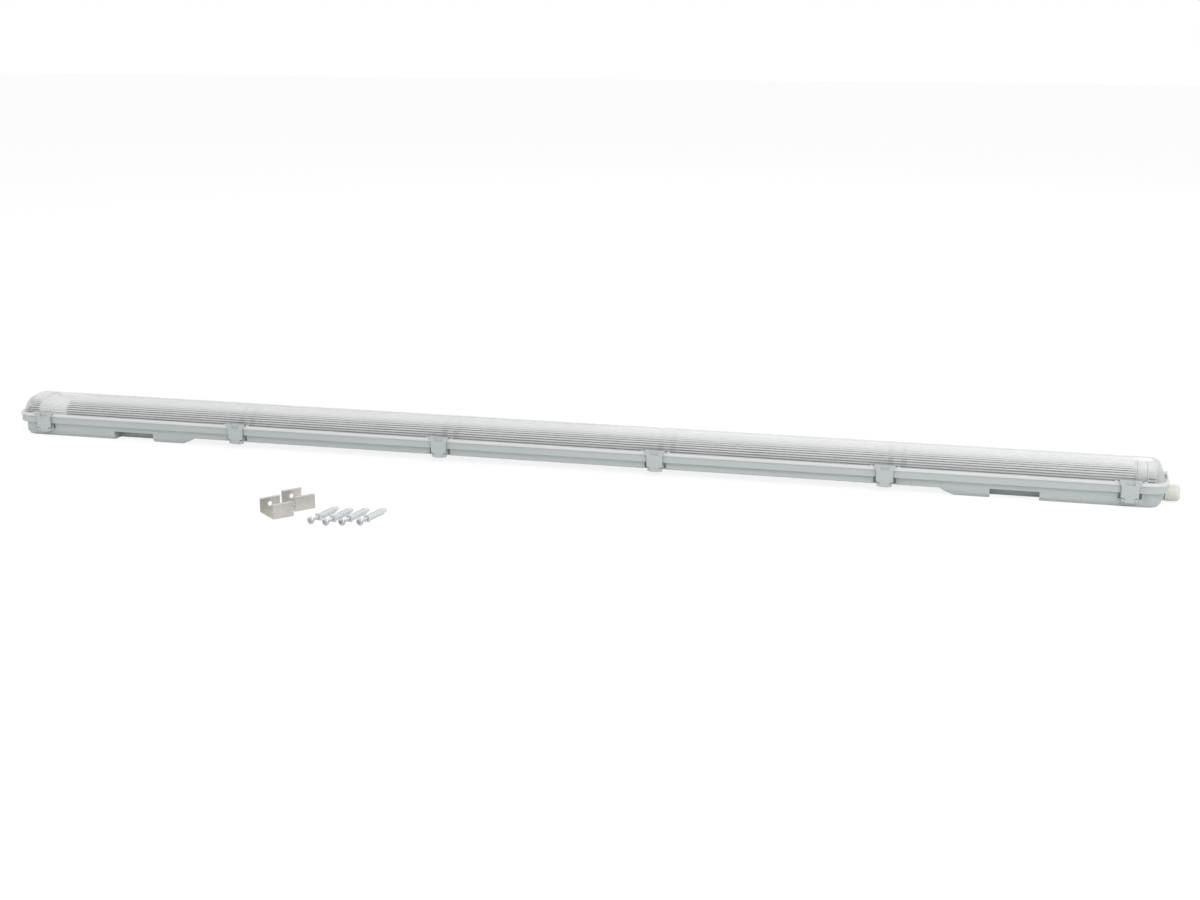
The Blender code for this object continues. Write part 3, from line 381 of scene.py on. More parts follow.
def rounded_copy(node, name, edge):
    """A CAD node's shape with its sharp edges rounded."""
    thing = bench_copy(node, name)
    apply(thing, "BEVEL", width=edge, segments=2, limit_method="ANGLE",
          angle_limit=ROUNDING_ANGLE, use_clamp_overlap=True, miter_outer="MITER_ARC")
    smooth(thing, 40)
    apply(thing, "WEIGHTED_NORMAL", mode="FACE_AREA", weight=50, keep_sharp=True)
    return thing


def block(name, low, high):
    """A box between two corners."""
    deselect()
    centre = [(a + b) / 2 for a, b in zip(low, high)]
    bpy.ops.mesh.primitive_cube_add(size=1, location=centre)
    thing = named(name)
    thing.scale = [b - a for a, b in zip(low, high)]
    settle(thing)
    return thing


def rod(name, start, end, radius, sides):
    """A cylinder between two points."""
    deselect()
    start, end = Vector(start), Vector(end)
    along = end - start
    bpy.ops.mesh.primitive_cylinder_add(radius=radius, depth=along.length, vertices=sides,
                                        location=(start + end) / 2)
    thing = named(name)
    thing.rotation_mode = "QUATERNION"
    thing.rotation_quaternion = along.to_track_quat("Z", "Y")
    settle(thing)
    return thing


def lathe(name, profile, sides):
    """A closed profile of (radius, height) spun about Z."""
    thing = new_mesh(name)
    shape = bmesh.from_edit_mesh(thing.data)
    verts = [shape.verts.new((radius, 0, height)) for radius, height in profile]
    for vert, after in zip(verts, verts[1:] + verts[:1]):
        shape.edges.new((vert, after))
    bmesh.update_edit_mesh(thing.data)
    bpy.ops.mesh.select_all(action="SELECT")
    bpy.ops.mesh.spin(steps=sides, angle=2 * math.pi, center=(0, 0, 0), axis=(0, 0, 1))
    bpy.ops.mesh.select_all(action="SELECT")
    bpy.ops.mesh.remove_doubles(threshold=MERGE_DISTANCE)
    face_outwards(thing)
    return thing


def join(things):
    """Several closed shells as one piece, under the first one's name."""
    deselect()
    for thing in things:
        thing.select_set(True)
    bpy.context.view_layer.objects.active = things[0]
    bpy.ops.object.join()
    return things[0]


def carve(thing, tool):
    """Cut the tool's shape out of the piece and put the tool away."""
    apply(thing, "BOOLEAN", operation="DIFFERENCE", object=tool, solver="EXACT")
    bpy.data.objects.remove(tool)


def placed_copy(thing, name, matrix):
    """A copy with a mesh of its own, moved by the matrix."""
    mesh = thing.data.copy()
    mesh.name = name
    mesh.transform(matrix)
    copy = bpy.data.objects.new(name, mesh)
    bpy.context.scene.collection.objects.link(copy)
    return copy


def body_of(node):
    for body, members in frame["record"]["behaviour"]["bodies"].items():
        if node in members:
            return body
    raise RuntimeError(f"no body holds {node}")


def slot_of(node):
    for part in frame["record"]["subparts"]:
        if part["node"] == node:
            return part["material_slot"]
    raise RuntimeError(f"no subpart names {node}")


def dress_copy(node, word, finish, edge):
    """A copy of a CAD node with its edges rounded by the edge width, in its own body."""
    name = f"{node}_{word}"
    if edge:
        piece = rounded_copy(node, name, edge)
    else:
        piece = bench_copy(node, name)
        smooth(piece, 40)
    dress(piece, body_of(node), slot_of(node), finish)
    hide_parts(node)
    return piece


# ---------------------------------------------------------------- cover

DOME_BASE_Z = 0.0313
DOME_HEIGHT = 0.0232
DOME_HALF_WIDTH = 0.0353
DOME_HALF_LENGTH = 0.7712
DOME_END_SLOPE = 0.0190
DOME_CORNER_SHARE = 0.48
DOME_LAST_SHARE = 0.965

# Half length, half width and corner radius of the flange.
FLANGE = (0.7760, 0.0404, 0.0220)
FLANGE_BOTTOM = 0.0279
FLANGE_CHAMFER = 0.0012
RING_STEPS = 8
RING_STEP_UP = 0.00004
RIB_RUNOUT = 0.0012

# Where looks change over the dome: the first two in shares of its height, the last along it.
# RIB_FADE is where the painted shade and painted light on the ribs fade out towards the crown.
RIB_FADE = (0.55, 0.95)
CROWN_HAZE = (0.88, 0.98)
END_FROST = (0.7560, 0.7680)
POLYCARBONATE_IOR = 1.49

# Places along the cover before the tube's two caps: before the left one the ribs are painted near
# white, a painted light for the cap seen through them; before the right one they are clearer.
CAP_LIGHT_LEFT = (-0.7410, -0.6988)
POLISHED_RIGHT = (0.7346, 0.7600)

CLIP_COUNT = 6
CLIP_EDGE_SHARE = 0.7
CLIP_PITCH = 0.2920
CLIP_PLACES = [(number - (CLIP_COUNT - 1) / 2) * CLIP_PITCH for number in range(CLIP_COUNT)]
LUG_INNER = 0.0152
LUG_LENGTH = 0.0032
LUG_ROW = (0.0368, 0.0388)
LUG_SINK = 0.0006
LUG_HEIGHT = 0.0018
LUG_EDGE = 0.0004
TAB = ((0.7726, -0.0110, 0.0305), (0.7744, 0.0110, 0.0361))
TAB_EDGE = 0.0005

# The painted shadow in pairs on the ribs, for the clips' pockets on the far side: where they lie
# against the clips, and how high they reach.
POCKET_SHADE_SHIFT = 0.0140
POCKET_SHADE_BAND = (0.0045, 0.0115)
POCKET_SHADE_RISE = (0.0080, 0.0130)


def dome_ring(share, inset):
    """Half length, half width, corner and height of the cover at a share of the way up its side."""
    angle = math.pi / 2 * share
    height = (DOME_HEIGHT - inset) * math.sin(angle)
    half_width = (DOME_HALF_WIDTH - inset) * math.cos(angle)
    rise = height / DOME_HEIGHT
    half_length = DOME_HALF_LENGTH - inset - DOME_END_SLOPE * (rise / 3 + rise ** 6 * 2 / 3)
    return half_length, half_width, half_width * DOME_CORNER_SHARE, DOME_BASE_Z + height


def even_shares(pitch):
    """Shares up the side that lie a pitch apart along its curve."""
    fine = 2000
    lengths = [0.0]
    for step in range(fine):
        angle = math.pi / 2 * DOME_LAST_SHARE * (step + 0.5) / fine
        piece = math.hypot(DOME_HALF_WIDTH * math.sin(angle), DOME_HEIGHT * math.cos(angle))
        lengths.append(lengths[-1] + piece)
    total = lengths[-1]
    length = total * math.pi / 2 * DOME_LAST_SHARE / fine
    count = max(2, round(length / pitch))
    shares, at = [], 0
    for number in range(count + 1):
        goal = total * number / count
        while lengths[at] < goal - 1e-9:
            at += 1
        shares.append(DOME_LAST_SHARE * at / fine)
    return shares


def add_ring(thing, half_length, half_width, corner, height):
    """In edit mode, a plane at the height, its corners rounded and its face taken off."""
    before = len(bmesh.from_edit_mesh(thing.data).verts)
    bpy.ops.mesh.select_all(action="DESELECT")
    bpy.ops.mesh.primitive_plane_add(size=2, location=(0, 0, height))
    bpy.ops.transform.resize(value=(half_length, half_width, 1))
    bpy.ops.mesh.bevel(offset=corner, segments=RING_STEPS, affect="VERTICES")
    bpy.ops.mesh.delete(type="ONLY_FACE")
    return before, len(bmesh.from_edit_mesh(thing.data).verts)


def skin(thing, rings):
    """In edit mode, draw the rings and bridge each to the one before it. Neighbours never share a
    height, because the bridge between two level rings can cross over the inside."""
    bpy.ops.mesh.select_mode(type="VERT")
    spans = [add_ring(thing, *ring) for ring in rings]
    for low, high in zip(spans, spans[1:]):
        bpy.ops.mesh.select_mode(type="EDGE")
        bpy.ops.mesh.select_all(action="DESELECT")
        shape = bmesh.from_edit_mesh(thing.data)
        shape.verts.ensure_lookup_table()
        for span in (low, high):
            inside = set(shape.verts[span[0]:span[1]])
            for vert in inside:
                for link in vert.link_edges:
                    other = link.other_vert(vert)
                    if other in inside and abs(other.co.z - vert.co.z) < LEVEL_TOLERANCE:
                        link.select_set(True)
        bmesh.update_edit_mesh(thing.data)
        bpy.ops.mesh.bridge_edge_loops()


def new_mesh(name):
    """An empty mesh object, open for editing."""
    deselect()
    bpy.ops.mesh.primitive_plane_add(size=1)
    thing = named(name)
    edit(thing)
    bpy.ops.mesh.select_all(action="SELECT")
    bpy.ops.mesh.delete(type="VERT")
    return thing


def face_outwards(thing):
    """In edit mode, turn every face outwards, and leave edit mode."""
    bpy.ops.mesh.select_all(action="SELECT")
    bpy.ops.mesh.normals_make_consistent(inside=False)
    if bmesh.from_edit_mesh(thing.data).calc_volume(signed=True) < 0:
        bpy.ops.mesh.flip_normals()
    bpy.ops.object.mode_set(mode="OBJECT")


def close_top(thing, height):
    pick(thing, "verts", lambda vert: abs(vert.co.z - height) < LEVEL_TOLERANCE)
    bpy.ops.mesh.edge_face_add()


def end_ribs(cover, crests, settings):
    """Run the ribs out into the plain wall near both ends of the cover."""
    edit(cover)
    for side in (-1, 1):
        for place in (settings.rib_end, settings.rib_end + RIB_RUNOUT):
            bpy.ops.mesh.select_all(action="SELECT")
            bpy.ops.mesh.bisect(plane_co=(side * place, 0, 0), plane_no=(1, 0, 0))
    shape = bmesh.from_edit_mesh(cover.data)
    limit = settings.rib_end + RIB_RUNOUT / 2
    for vert in shape.verts:
        for (length, width, corner, height), plain in crests:
            level = abs(vert.co.z - height) < MERGE_DISTANCE
            if level and abs(vert.co.x) > limit and abs(vert.co.y) <= width + MERGE_DISTANCE:
                vert.co.y *= plain[1] / width
                vert.co.z = plain[3]
                if abs(vert.co.x) > length - corner - MERGE_DISTANCE:
                    vert.co.x += math.copysign(plain[0] - length, vert.co.x)
                break
    bmesh.update_edit_mesh(cover.data)
    bpy.ops.object.mode_set(mode="OBJECT")


def make_cover_shell(settings):
    """The clear cover: smooth outside and ribbed along its length inside."""
    shares = even_shares(settings.rib_pitch)
    halves = [shares[0]]
    for low, high in zip(shares, shares[1:]):
        halves += [(low + high) / 2, high]
    outer_rings = [dome_ring(share, 0) for share in shares]
    inner_rings = [dome_ring(share, settings.wall + (settings.rib_depth if i % 2 else 0))
                   for i, share in enumerate(halves)]
    crests = [(inner_rings[i], dome_ring(halves[i], settings.wall))
              for i in range(1, len(halves), 2)]
    length, width, corner = FLANGE
    chamfer = FLANGE_CHAMFER
    foot = (*inner_rings[0][:3], FLANGE_BOTTOM + RING_STEP_UP)
    flange = [(length, width, corner, FLANGE_BOTTOM),
              (length, width, corner, DOME_BASE_Z - chamfer),
              (length - chamfer, width - chamfer, corner - chamfer,
               DOME_BASE_Z - RING_STEP_UP)]
    cover = new_mesh("clear_cover_lens")
    rings = inner_rings[::-1] + [foot] + flange + outer_rings
    skin(cover, rings)
    close_top(cover, outer_rings[-1][3])
    close_top(cover, inner_rings[-1][3])
    face_outwards(cover)
    end_ribs(cover, crests, settings)
    order = {round(ring[3] / MERGE_DISTANCE): i for i, ring in enumerate(inner_rings)}
    limit = settings.rib_end + RIB_RUNOUT
    for face in cover.data.polygons:
        corners = [cover.data.vertices[i].co for i in face.vertices]
        rows = {order.get(round(corner.z / MERGE_DISTANCE)) for corner in corners}
        on_rib = None not in rows and len(rows) == 2
        if on_rib and max(abs(corner.x) for corner in corners) < limit:
            face.material_index = 1 + min(rows) % 2
        elif max(corner.z for corner in corners) < DOME_BASE_Z + MERGE_DISTANCE:
            face.material_index = 3
    return cover


def add_cover_details(cover):
    """The upright tab at the gland end and the locating lugs beside the clips' tops."""
    things = [block("cover_tab", *TAB)]
    for x in CLIP_PLACES:
        for row in (-1, 1):
            for hand in (-1, 1):
                x_low, x_high = sorted((x + hand * LUG_INNER,
                                        x + hand * (LUG_INNER + LUG_LENGTH)))
                y_low, y_high = sorted(row * y for y in LUG_ROW)
                lug = block("flange_lug", (x_low, y_low, DOME_BASE_Z - LUG_SINK),
                            (x_high, y_high, DOME_BASE_Z + LUG_HEIGHT))
                apply(lug, "BEVEL", width=LUG_EDGE, segments=2, limit_method="ANGLE")
                things.append(lug)
    apply(things[0], "BEVEL", width=TAB_EDGE, segments=2, limit_method="ANGLE")
    for thing in things:
        thing.data.materials.append(cover.data.materials[3])
    join([cover] + things)


def dome_ramp(finish, low, high):
    """0 to 1 between two shares of the dome's height."""
    return finish.ramp(finish.axis("Z"), DOME_BASE_Z + DOME_HEIGHT * low,
                       DOME_BASE_Z + DOME_HEIGHT * high)


def clear_plastic(settings):
    """Clear polycarbonate: thin along the dome, denser at its crown, denser and greyer at its
    moulded ends."""
    finish = Finish("cover_clear")
    haze = finish.noise(finish.place(), 30, 3)
    dust = finish.ramp(finish.noise(finish.place(scale=(3, 1, 1)), 700, 3, 0.7), 0.62, 0.80)
    end = finish.ramp(finish.math("ABSOLUTE", finish.axis("X")), *END_FROST)
    crown = dome_ramp(finish, *CROWN_HAZE)
    dome = finish.mix(haze, shaded(settings.clear, 0.97), settings.clear)
    finish.set("Base Color", finish.mix(end, dome, shaded(settings.clear, 0.80)))
    finish.set("Roughness", 0.08 + haze * 0.08)
    finish.set("Alpha", 0.16 + haze * 0.05 + dust * 0.05 + end * 0.32 + crown * 0.25)
    finish.set("IOR", POLYCARBONATE_IOR)
    return finish.material


def window(finish, place, low, high, blur):
    """1 between low and high along a line and 0 elsewhere, with soft edges."""
    past_high = finish.ramp(place, high - blur, high + blur)
    return finish.ramp(place, low - blur, low + blur) * (1 - past_high)


def rib_flank(name, low_colour, high_colour, low_alpha, high_alpha):
    """A rib's flank, painted dark or light: a painted shade and a painted light that stand in for
    the refraction of the ribs. It fades towards the crown. Before the left cap it is painted near
    white, a painted light for the cap seen through it, and before the right cap it is clearer. It
    darkens a little in pairs, a painted shadow of the pockets of the clips on the far side."""
    finish = Finish(name)
    along = finish.axis("X")
    rise = dome_ramp(finish, *RIB_FADE)
    cap_light = window(finish, along, *CAP_LIGHT_LEFT, 0.0015)
    clearer = window(finish, along, *POLISHED_RIGHT, 0.0010)
    streak = finish.noise(finish.place(scale=(8, 1, 1)), 240, 2)
    colour = finish.mix(rise, low_colour, high_colour)
    colour = finish.mix((streak - 0.3) * 0.25, colour, high_colour)
    # Painted shadow of the far clips' pockets: a darker pair beside each clip, strongest low down.
    turn = (along - POCKET_SHADE_SHIFT) / CLIP_PITCH
    offset = finish.math("ABSOLUTE", (finish.math("FRACT", turn) - 0.5) * CLIP_PITCH)
    pocket_shade = window(finish, offset, *POCKET_SHADE_BAND, 0.0006)
    low_side = 1 - finish.ramp(finish.axis("Z"), *(DOME_BASE_Z + z for z in POCKET_SHADE_RISE))
    colour = finish.mix(pocket_shade * (low_side * 0.42 + 0.10), colour, shaded(low_colour, 0.5))
    alpha = low_alpha + rise * (high_alpha - low_alpha)
    # Painted light: the ribs go near white before the left cap, for the cap seen through them.
    finish.set("Base Color", finish.mix(cap_light, colour, (1, 1, 1)))
    finish.set("Roughness", 0.25 + streak * 0.1)
    finish.set("Alpha", alpha * (1 - cap_light * 0.42 - clearer * 0.84))
    finish.set("IOR", POLYCARBONATE_IOR)
    return finish.material


def flange_plastic(settings):
    """The cover's thick flange: denser and a little greyer than its thin dome."""
    finish = Finish("cover_flange")
    haze = finish.noise(finish.place(scale=(4, 1, 1)), 60, 3)
    finish.set("Base Color", finish.mix(haze, shaded(settings.clear, 0.79),
                                        shaded(settings.clear, 0.84)))
    finish.set("Roughness", 0.16 + haze * 0.08)
    finish.set("Alpha", 0.84 + haze * 0.06)
    finish.set("IOR", POLYCARBONATE_IOR)
    return finish.material


class FIXTURE_OT_cover(bpy.types.Operator):
    """Model the clear ribbed cover with its flange"""
    bl_idname = "fixture.make_cover"
    bl_label = "Make cover"

    def execute(self, context):
        settings = context.scene.fixture.cover
        cover = make_cover_shell(settings)
        # The two flanks are a painted shade and a painted light of one clear plastic, the light one
        # darker towards the bottom.
        dress(cover, "cover", "clear_cover", clear_plastic(settings),
              rib_flank("cover_rib_shade", settings.shade, settings.clear, 1.0, 0.72),
              rib_flank("cover_rib_light", shaded(settings.clear, 0.78), settings.clear,
                        0.84, 0.76),
              flange_plastic(settings))
        add_cover_details(cover)
        smooth(cover, 30)
        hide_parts("cover")
        return {"FINISHED"}


# ---------------------------------------------------------------- housing, clips and gland

class FIXTURE_OT_housing(bpy.types.Operator):
    """Shade the housing smooth and give it and its seal their finishes"""
    bl_idname = "fixture.make_housing"
    bl_label = "Make housing"

    def execute(self, context):
        settings = context.scene.fixture.housing
        housing = bench_copy("housing", "moulded_housing")
        smooth(housing, 32)
        dress(housing, "fixture", "grey_plastic", moulded("housing_grey", settings.colour, 0.42))
        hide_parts("housing")
        frame["nodes"]["gasket"].data.materials[0] = foam("seal_foam_cells", tint(60, 60, 64))
        return {"FINISHED"}


class FIXTURE_OT_clips(bpy.types.Operator):
    """Round the twelve cover clips and give them their finish"""
    bl_idname = "fixture.make_clips"
    bl_label = "Make clips"

    def execute(self, context):
        settings = context.scene.fixture.housing
        finish = moulded("clip_grey", settings.clips, 0.36)
        for row in ("front", "rear"):
            for number in range(1, CLIP_COUNT + 1):
                node = f"{row}_clip_{number}"
                clip = rounded_copy(node, node + "_moulding", settings.edge * CLIP_EDGE_SHARE)
                dress(clip, node, "clip_plastic", finish)
                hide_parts(node)
        return {"FINISHED"}


class FIXTURE_OT_gland(bpy.types.Operator):
    """Round the cable gland's body and nut"""
    bl_idname = "fixture.make_gland"
    bl_label = "Make cable gland"

    def execute(self, context):
        settings = context.scene.fixture.housing
        cream = moulded("gland_cream_nylon", settings.gland, 0.4)
        for node in ("gland_body", "gland_nut", "gland_locknut"):
            dress_copy(node, "moulding", cream, SMALL_EDGE)
        rubber = rubbery("seal_ring_rubber", tint(52, 53, 55), 0.7)
        dress_copy("gland_seal", "ring", rubber, 0)
        return {"FINISHED"}


# ---------------------------------------------------------------- lamp, holders and tray

AXIS_Z = 0.0368
TUBE_RADIUS = 0.0130
TUBE_ENDS = (-0.7237, 0.7377)
BOARD_TOP = 0.0328
LED_PITCH = 0.0150
LED_COUNT = 96
LED_SIZE = (0.0028, 0.0035, 0.0007)
HOLDER_FACES = (0.7503, 0.7613)
HOLDER_HALF_WIDTH = 0.0120
TRAY_TOP = 0.0223

# The lead slots, painted as dark patches of shade: their distances from the holder's two faces, and
# their places and sizes.
SLOT_MARGINS = (0.0014, 0.0012)
SLOT_DEPTH = 0.0006
SLOT_PROUD = 0.0002
SLOT_RISE = 0.0030
SLOT_PITCH = 0.0042
SLOT_HEIGHT = 0.0016

TRAY_SCREW_PLACES = ((-0.40, -0.02), (-0.40, 0.02), (0.40, -0.02), (0.40, 0.02))
TRAY_SCREW_LENGTH = 0.0075
EARTH_SCREW_PLACE = (0.72, 0.021)
EARTH_SCREW_LENGTH = 0.0040

# Head radius, head height and shank radius of the tray's screws.
SMALL_SCREW = (0.0034, 0.0018, 0.0015)
SMALL_SCREW_PITCH = 0.0008
SMALL_SCREW_SEAT = TRAY_TOP + 0.0003


def make_tube_body():
    """The frosted tube, round at a fine count, with its drawn-in ends."""
    wall, lip = 0.0010, 0.0006
    left, right = TUBE_ENDS
    bore = TUBE_RADIUS - wall
    profile = [(bore, left), (TUBE_RADIUS - lip, left), (TUBE_RADIUS, left + lip),
               (TUBE_RADIUS, right - lip), (TUBE_RADIUS - lip, right), (bore, right)]
    tube = lathe("frosted_tube_body", profile, 64)
    lie = Matrix.Rotation(math.pi / 2, 4, "Y")
    tube.data.transform(Matrix.Translation((0, 0, AXIS_Z)) @ lie)
    return tube


def make_leds():
    """The row of light sources on the board."""
    start = -LED_PITCH * (LED_COUNT - 1) / 2
    length, width, height = LED_SIZE
    led = block("led_row", (start - length / 2, -width / 2, BOARD_TOP),
                (start + length / 2, width / 2, BOARD_TOP + height))
    apply(led, "BEVEL", width=0.0001, segments=1, limit_method="ANGLE")
    apply(led, "ARRAY", count=LED_COUNT, use_relative_offset=False, use_constant_offset=True,
          constant_offset_displace=(LED_PITCH, 0, 0))
    return led


def led_finish():
    """Yellow phosphor."""
    finish = Finish("led_phosphor")
    grain = finish.noise(finish.place(), 4000, 2)
    finish.set("Base Color", finish.mix(grain, tint(226, 206, 112), tint(240, 222, 140)))
    finish.set("Roughness", 0.4 + grain * 0.1)
    return finish.material


def make_lead_slot_shade(side):
    """Dark patches low on the front and rear of a lampholder, in the leads' colour: painted shade
    of its lead slots.
    """
    slots = []
    for row in (-1, 1):
        for number in range(2):
            x_low, x_high = sorted((side * (HOLDER_FACES[0] + SLOT_MARGINS[0]),
                                    side * (HOLDER_FACES[1] - SLOT_MARGINS[1])))
            y_low, y_high = sorted((row * (HOLDER_HALF_WIDTH - SLOT_DEPTH),
                                    row * (HOLDER_HALF_WIDTH + SLOT_PROUD)))
            z = TRAY_TOP + SLOT_RISE + number * SLOT_PITCH
            slots.append(block(f"lead_slots_{side}", (x_low, y_low, z),
                               (x_high, y_high, z + SLOT_HEIGHT)))
    return join(slots)


class FIXTURE_OT_lamp(bpy.types.Operator):
    """Model the tube with its caps, pins, rotors, board and light sources"""
    bl_idname = "fixture.make_lamp"
    bl_label = "Make lamp"

    def execute(self, context):
        settings = context.scene.fixture.lamp
        tube = make_tube_body()
        smooth(tube, 40)
        dress(tube, "lamp", "frosted_tube", frosted("frosted_tube_glass", settings.glass))
        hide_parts("lamp_tube")
        leds = make_leds()
        dress(leds, "lamp", "board_white", led_finish())
        cap = moulded("cap_white", settings.cap, 0.36)
        pins = metal("pin_plating", settings.pin, 0.25)
        for side in ("left", "right"):
            dress_copy(f"tube_cap_{side}", "moulding", cap, SMALL_EDGE)
            dress_copy(f"rotor_{side}", "moulding", cap, SMALL_EDGE)
            for number in (1, 2):
                dress_copy(f"tube_pin_{side}_{number}", "rounded", pins, SMALL_EDGE)
        dress_copy("tube_label_band", "sleeve", moulded("band_white", settings.cap, 0.5), 0)
        dress_copy("led_board", "blank", enamel("board_resist", settings.cap, 0.45), 0)
        return {"FINISHED"}


class FIXTURE_OT_tray(bpy.types.Operator):
    """Dress the gear tray, its screws, the lampholders, the terminals and the leads"""
    bl_idname = "fixture.make_tray"
    bl_label = "Make gear tray"

    def execute(self, context):
        settings = context.scene.fixture.lamp
        dress_copy("gear_tray", "pressing", enamel("tray_enamel", settings.enamel, 0.30), 0)
        white = moulded("holder_white", settings.cap, 0.34)
        dark = rubbery("contact_dark", settings.lead, 0.55)
        for side, name in ((-1, "left"), (1, "right")):
            dress_copy(f"lampholder_{name}", "moulding", white, SMALL_EDGE)
            # The lead slots are dark patches on the holder, a painted shade of their openings.
            dress(make_lead_slot_shade(side), "fixture", "wire_dark", dark)
        dress_copy("terminal_block", "moulding", white, SMALL_EDGE)
        dress_copy("supply_wire", "lead", dark, 0)
        dress_copy("return_wire", "lead", dark, 0)
        zinc = metal("screw_zinc", context.scene.fixture.fixing.zinc, 0.28)
        small = make_screw("tray_screw_model", *SMALL_SCREW, TRAY_SCREW_LENGTH, SMALL_SCREW_PITCH)
        for number, place in enumerate(TRAY_SCREW_PLACES, 1):
            seat = Matrix.Translation((*place, SMALL_SCREW_SEAT))
            turned = seat @ Matrix.Rotation(0.6 * number, 4, "Z")
            self.fasten(small, f"tray_screw_{number}", turned, zinc)
        bpy.data.objects.remove(small)
        earth = make_screw("earth_screw_model", *SMALL_SCREW, EARTH_SCREW_LENGTH,
                           SMALL_SCREW_PITCH)
        seat = Matrix.Translation((*EARTH_SCREW_PLACE, SMALL_SCREW_SEAT))
        self.fasten(earth, "earth_screw", seat, zinc)
        bpy.data.objects.remove(earth)
        for number in (1, 2, 3):
            node = f"terminal_screw_{number}"
            screw = bench_copy(node, node + "_slotted")
            low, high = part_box(node)
            middle = (low + high) / 2
            slot = block("slot", (low.x - 0.001, middle.y - 0.0004, high.z - 0.0010),
                         (high.x + 0.001, middle.y + 0.0004, high.z + 0.001))
            carve(screw, slot)
            smooth(screw, 40)
            dress(screw, "fixture", "zinc_steel", zinc)
            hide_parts(node)
        return {"FINISHED"}

    def fasten(self, model, node, stand, finish):
        screw = placed_copy(model, node + "_threaded", stand)
        smooth(screw, 40)
        dress(screw, "fixture", "zinc_steel", finish)
        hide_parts(node)


# ---------------------------------------------------------------- loose fixings

# Head radius, head height and shank radius of the wall screws.
WALL_SCREW = (0.0045, 0.0028, 0.0020)
WALL_SCREW_LENGTH = 0.0450
WALL_SCREW_PITCH = 0.0017
HEAD_LENGTH = WALL_SCREW[1]
SCREW_OUTSIDE = 0.0140
SCREW_TURN = math.radians(78.7)
SCREW_AXIS_Z = 0.0045
SCREW_PLACES = ((-0.1990, -0.3420), (-0.1800, -0.3434), (-0.1615, -0.3388), (-0.1412, -0.3337))
PLUG_LENGTH = 0.0400
PLUG_RIB_PITCH = 0.0030


def make_screw(name, head_radius, head, shank, length, pitch):
    """A pan-head screw along Z with its seat at z = 0, its cross recess and its thread."""
    root = shank * 0.74
    outline = [(0, -length), (root * 0.55, -length), (root, -length + root * 0.8), (root, 0),
               (head_radius, 0), (head_radius, head * 0.42), (head_radius * 0.93, head * 0.68),
               (head_radius * 0.74, head * 0.88), (head_radius * 0.46, head), (0, head)]
    screw = lathe(name, outline, 28)
    reach, width, depth = head_radius * 0.58, head_radius * 0.11, head * 0.55
    for x, y in ((reach, width), (width, reach)):
        carve(screw, block("recess", (-x, -y, head - depth), (x, y, head + depth)))
    thread = new_mesh("thread")
    shape = bmesh.from_edit_mesh(thread.data)
    start = -length + root
    corners = [shape.verts.new((root * 0.93, 0, start)),
               shape.verts.new((shank, 0, start + pitch * 0.36)),
               shape.verts.new((root * 0.93, 0, start + pitch * 0.72))]
    for low, high in zip(corners, corners[1:] + corners[:1]):
        shape.edges.new((low, high))
    bmesh.update_edit_mesh(thread.data)
    bpy.ops.object.mode_set(mode="OBJECT")
    turns = max(2, int((length - root) / pitch) - 1)
    apply(thread, "SCREW", screw_offset=pitch, iterations=turns, steps=14, render_steps=14,
          use_smooth_shade=False)
    edit(thread)
    bpy.ops.mesh.select_all(action="SELECT")
    bpy.ops.mesh.fill_holes(sides=4)
    face_outwards(thread)
    return join([screw, thread])


def make_plug(name, length):
    """A ribbed wall plug along X from its collar, with a squared collar, fins and a slit."""
    bore, core, fin = 0.0022, 0.0033, 0.0039
    profile = [(bore, 0.0), (core, 0.0), (core, 0.0040)]
    x = 0.0040
    while x < length - 0.0080:
        profile += [(fin - 0.0003, x), (fin, x + 0.0003), (fin, x + 0.0014), (core, x + 0.0020),
                    (core, x + PLUG_RIB_PITCH)]
        x += PLUG_RIB_PITCH
    profile += [(core, length - 0.0050), (0.0026, length), (bore, length)]
    body = lathe(name, profile, 24)
    body.data.transform(Matrix.Rotation(math.pi / 2, 4, "Y"))
    slit = block("slit", (0.0100, -0.0005, -0.0060), (length - 0.0060, 0.0005, 0.0060))
    carve(body, slit)
    collar = block("collar", (0, -0.0043, -0.0043), (0.0020, 0.0043, 0.0043))
    apply(collar, "BEVEL", width=0.0010, segments=3, limit_method="ANGLE")
    hole = rod("hole", (-0.001, 0, 0), (0.003, 0, 0), 0.0030, 24)
    carve(collar, hole)
    fins = []
    for row in (-1, 1):
        y_low, y_high = sorted((row * 0.0030, row * 0.0043))
        fins.append(block("wing", (0.0030, y_low, -0.0004), (0.0160, y_high, 0.0004)))
    return join([body, collar] + fins)


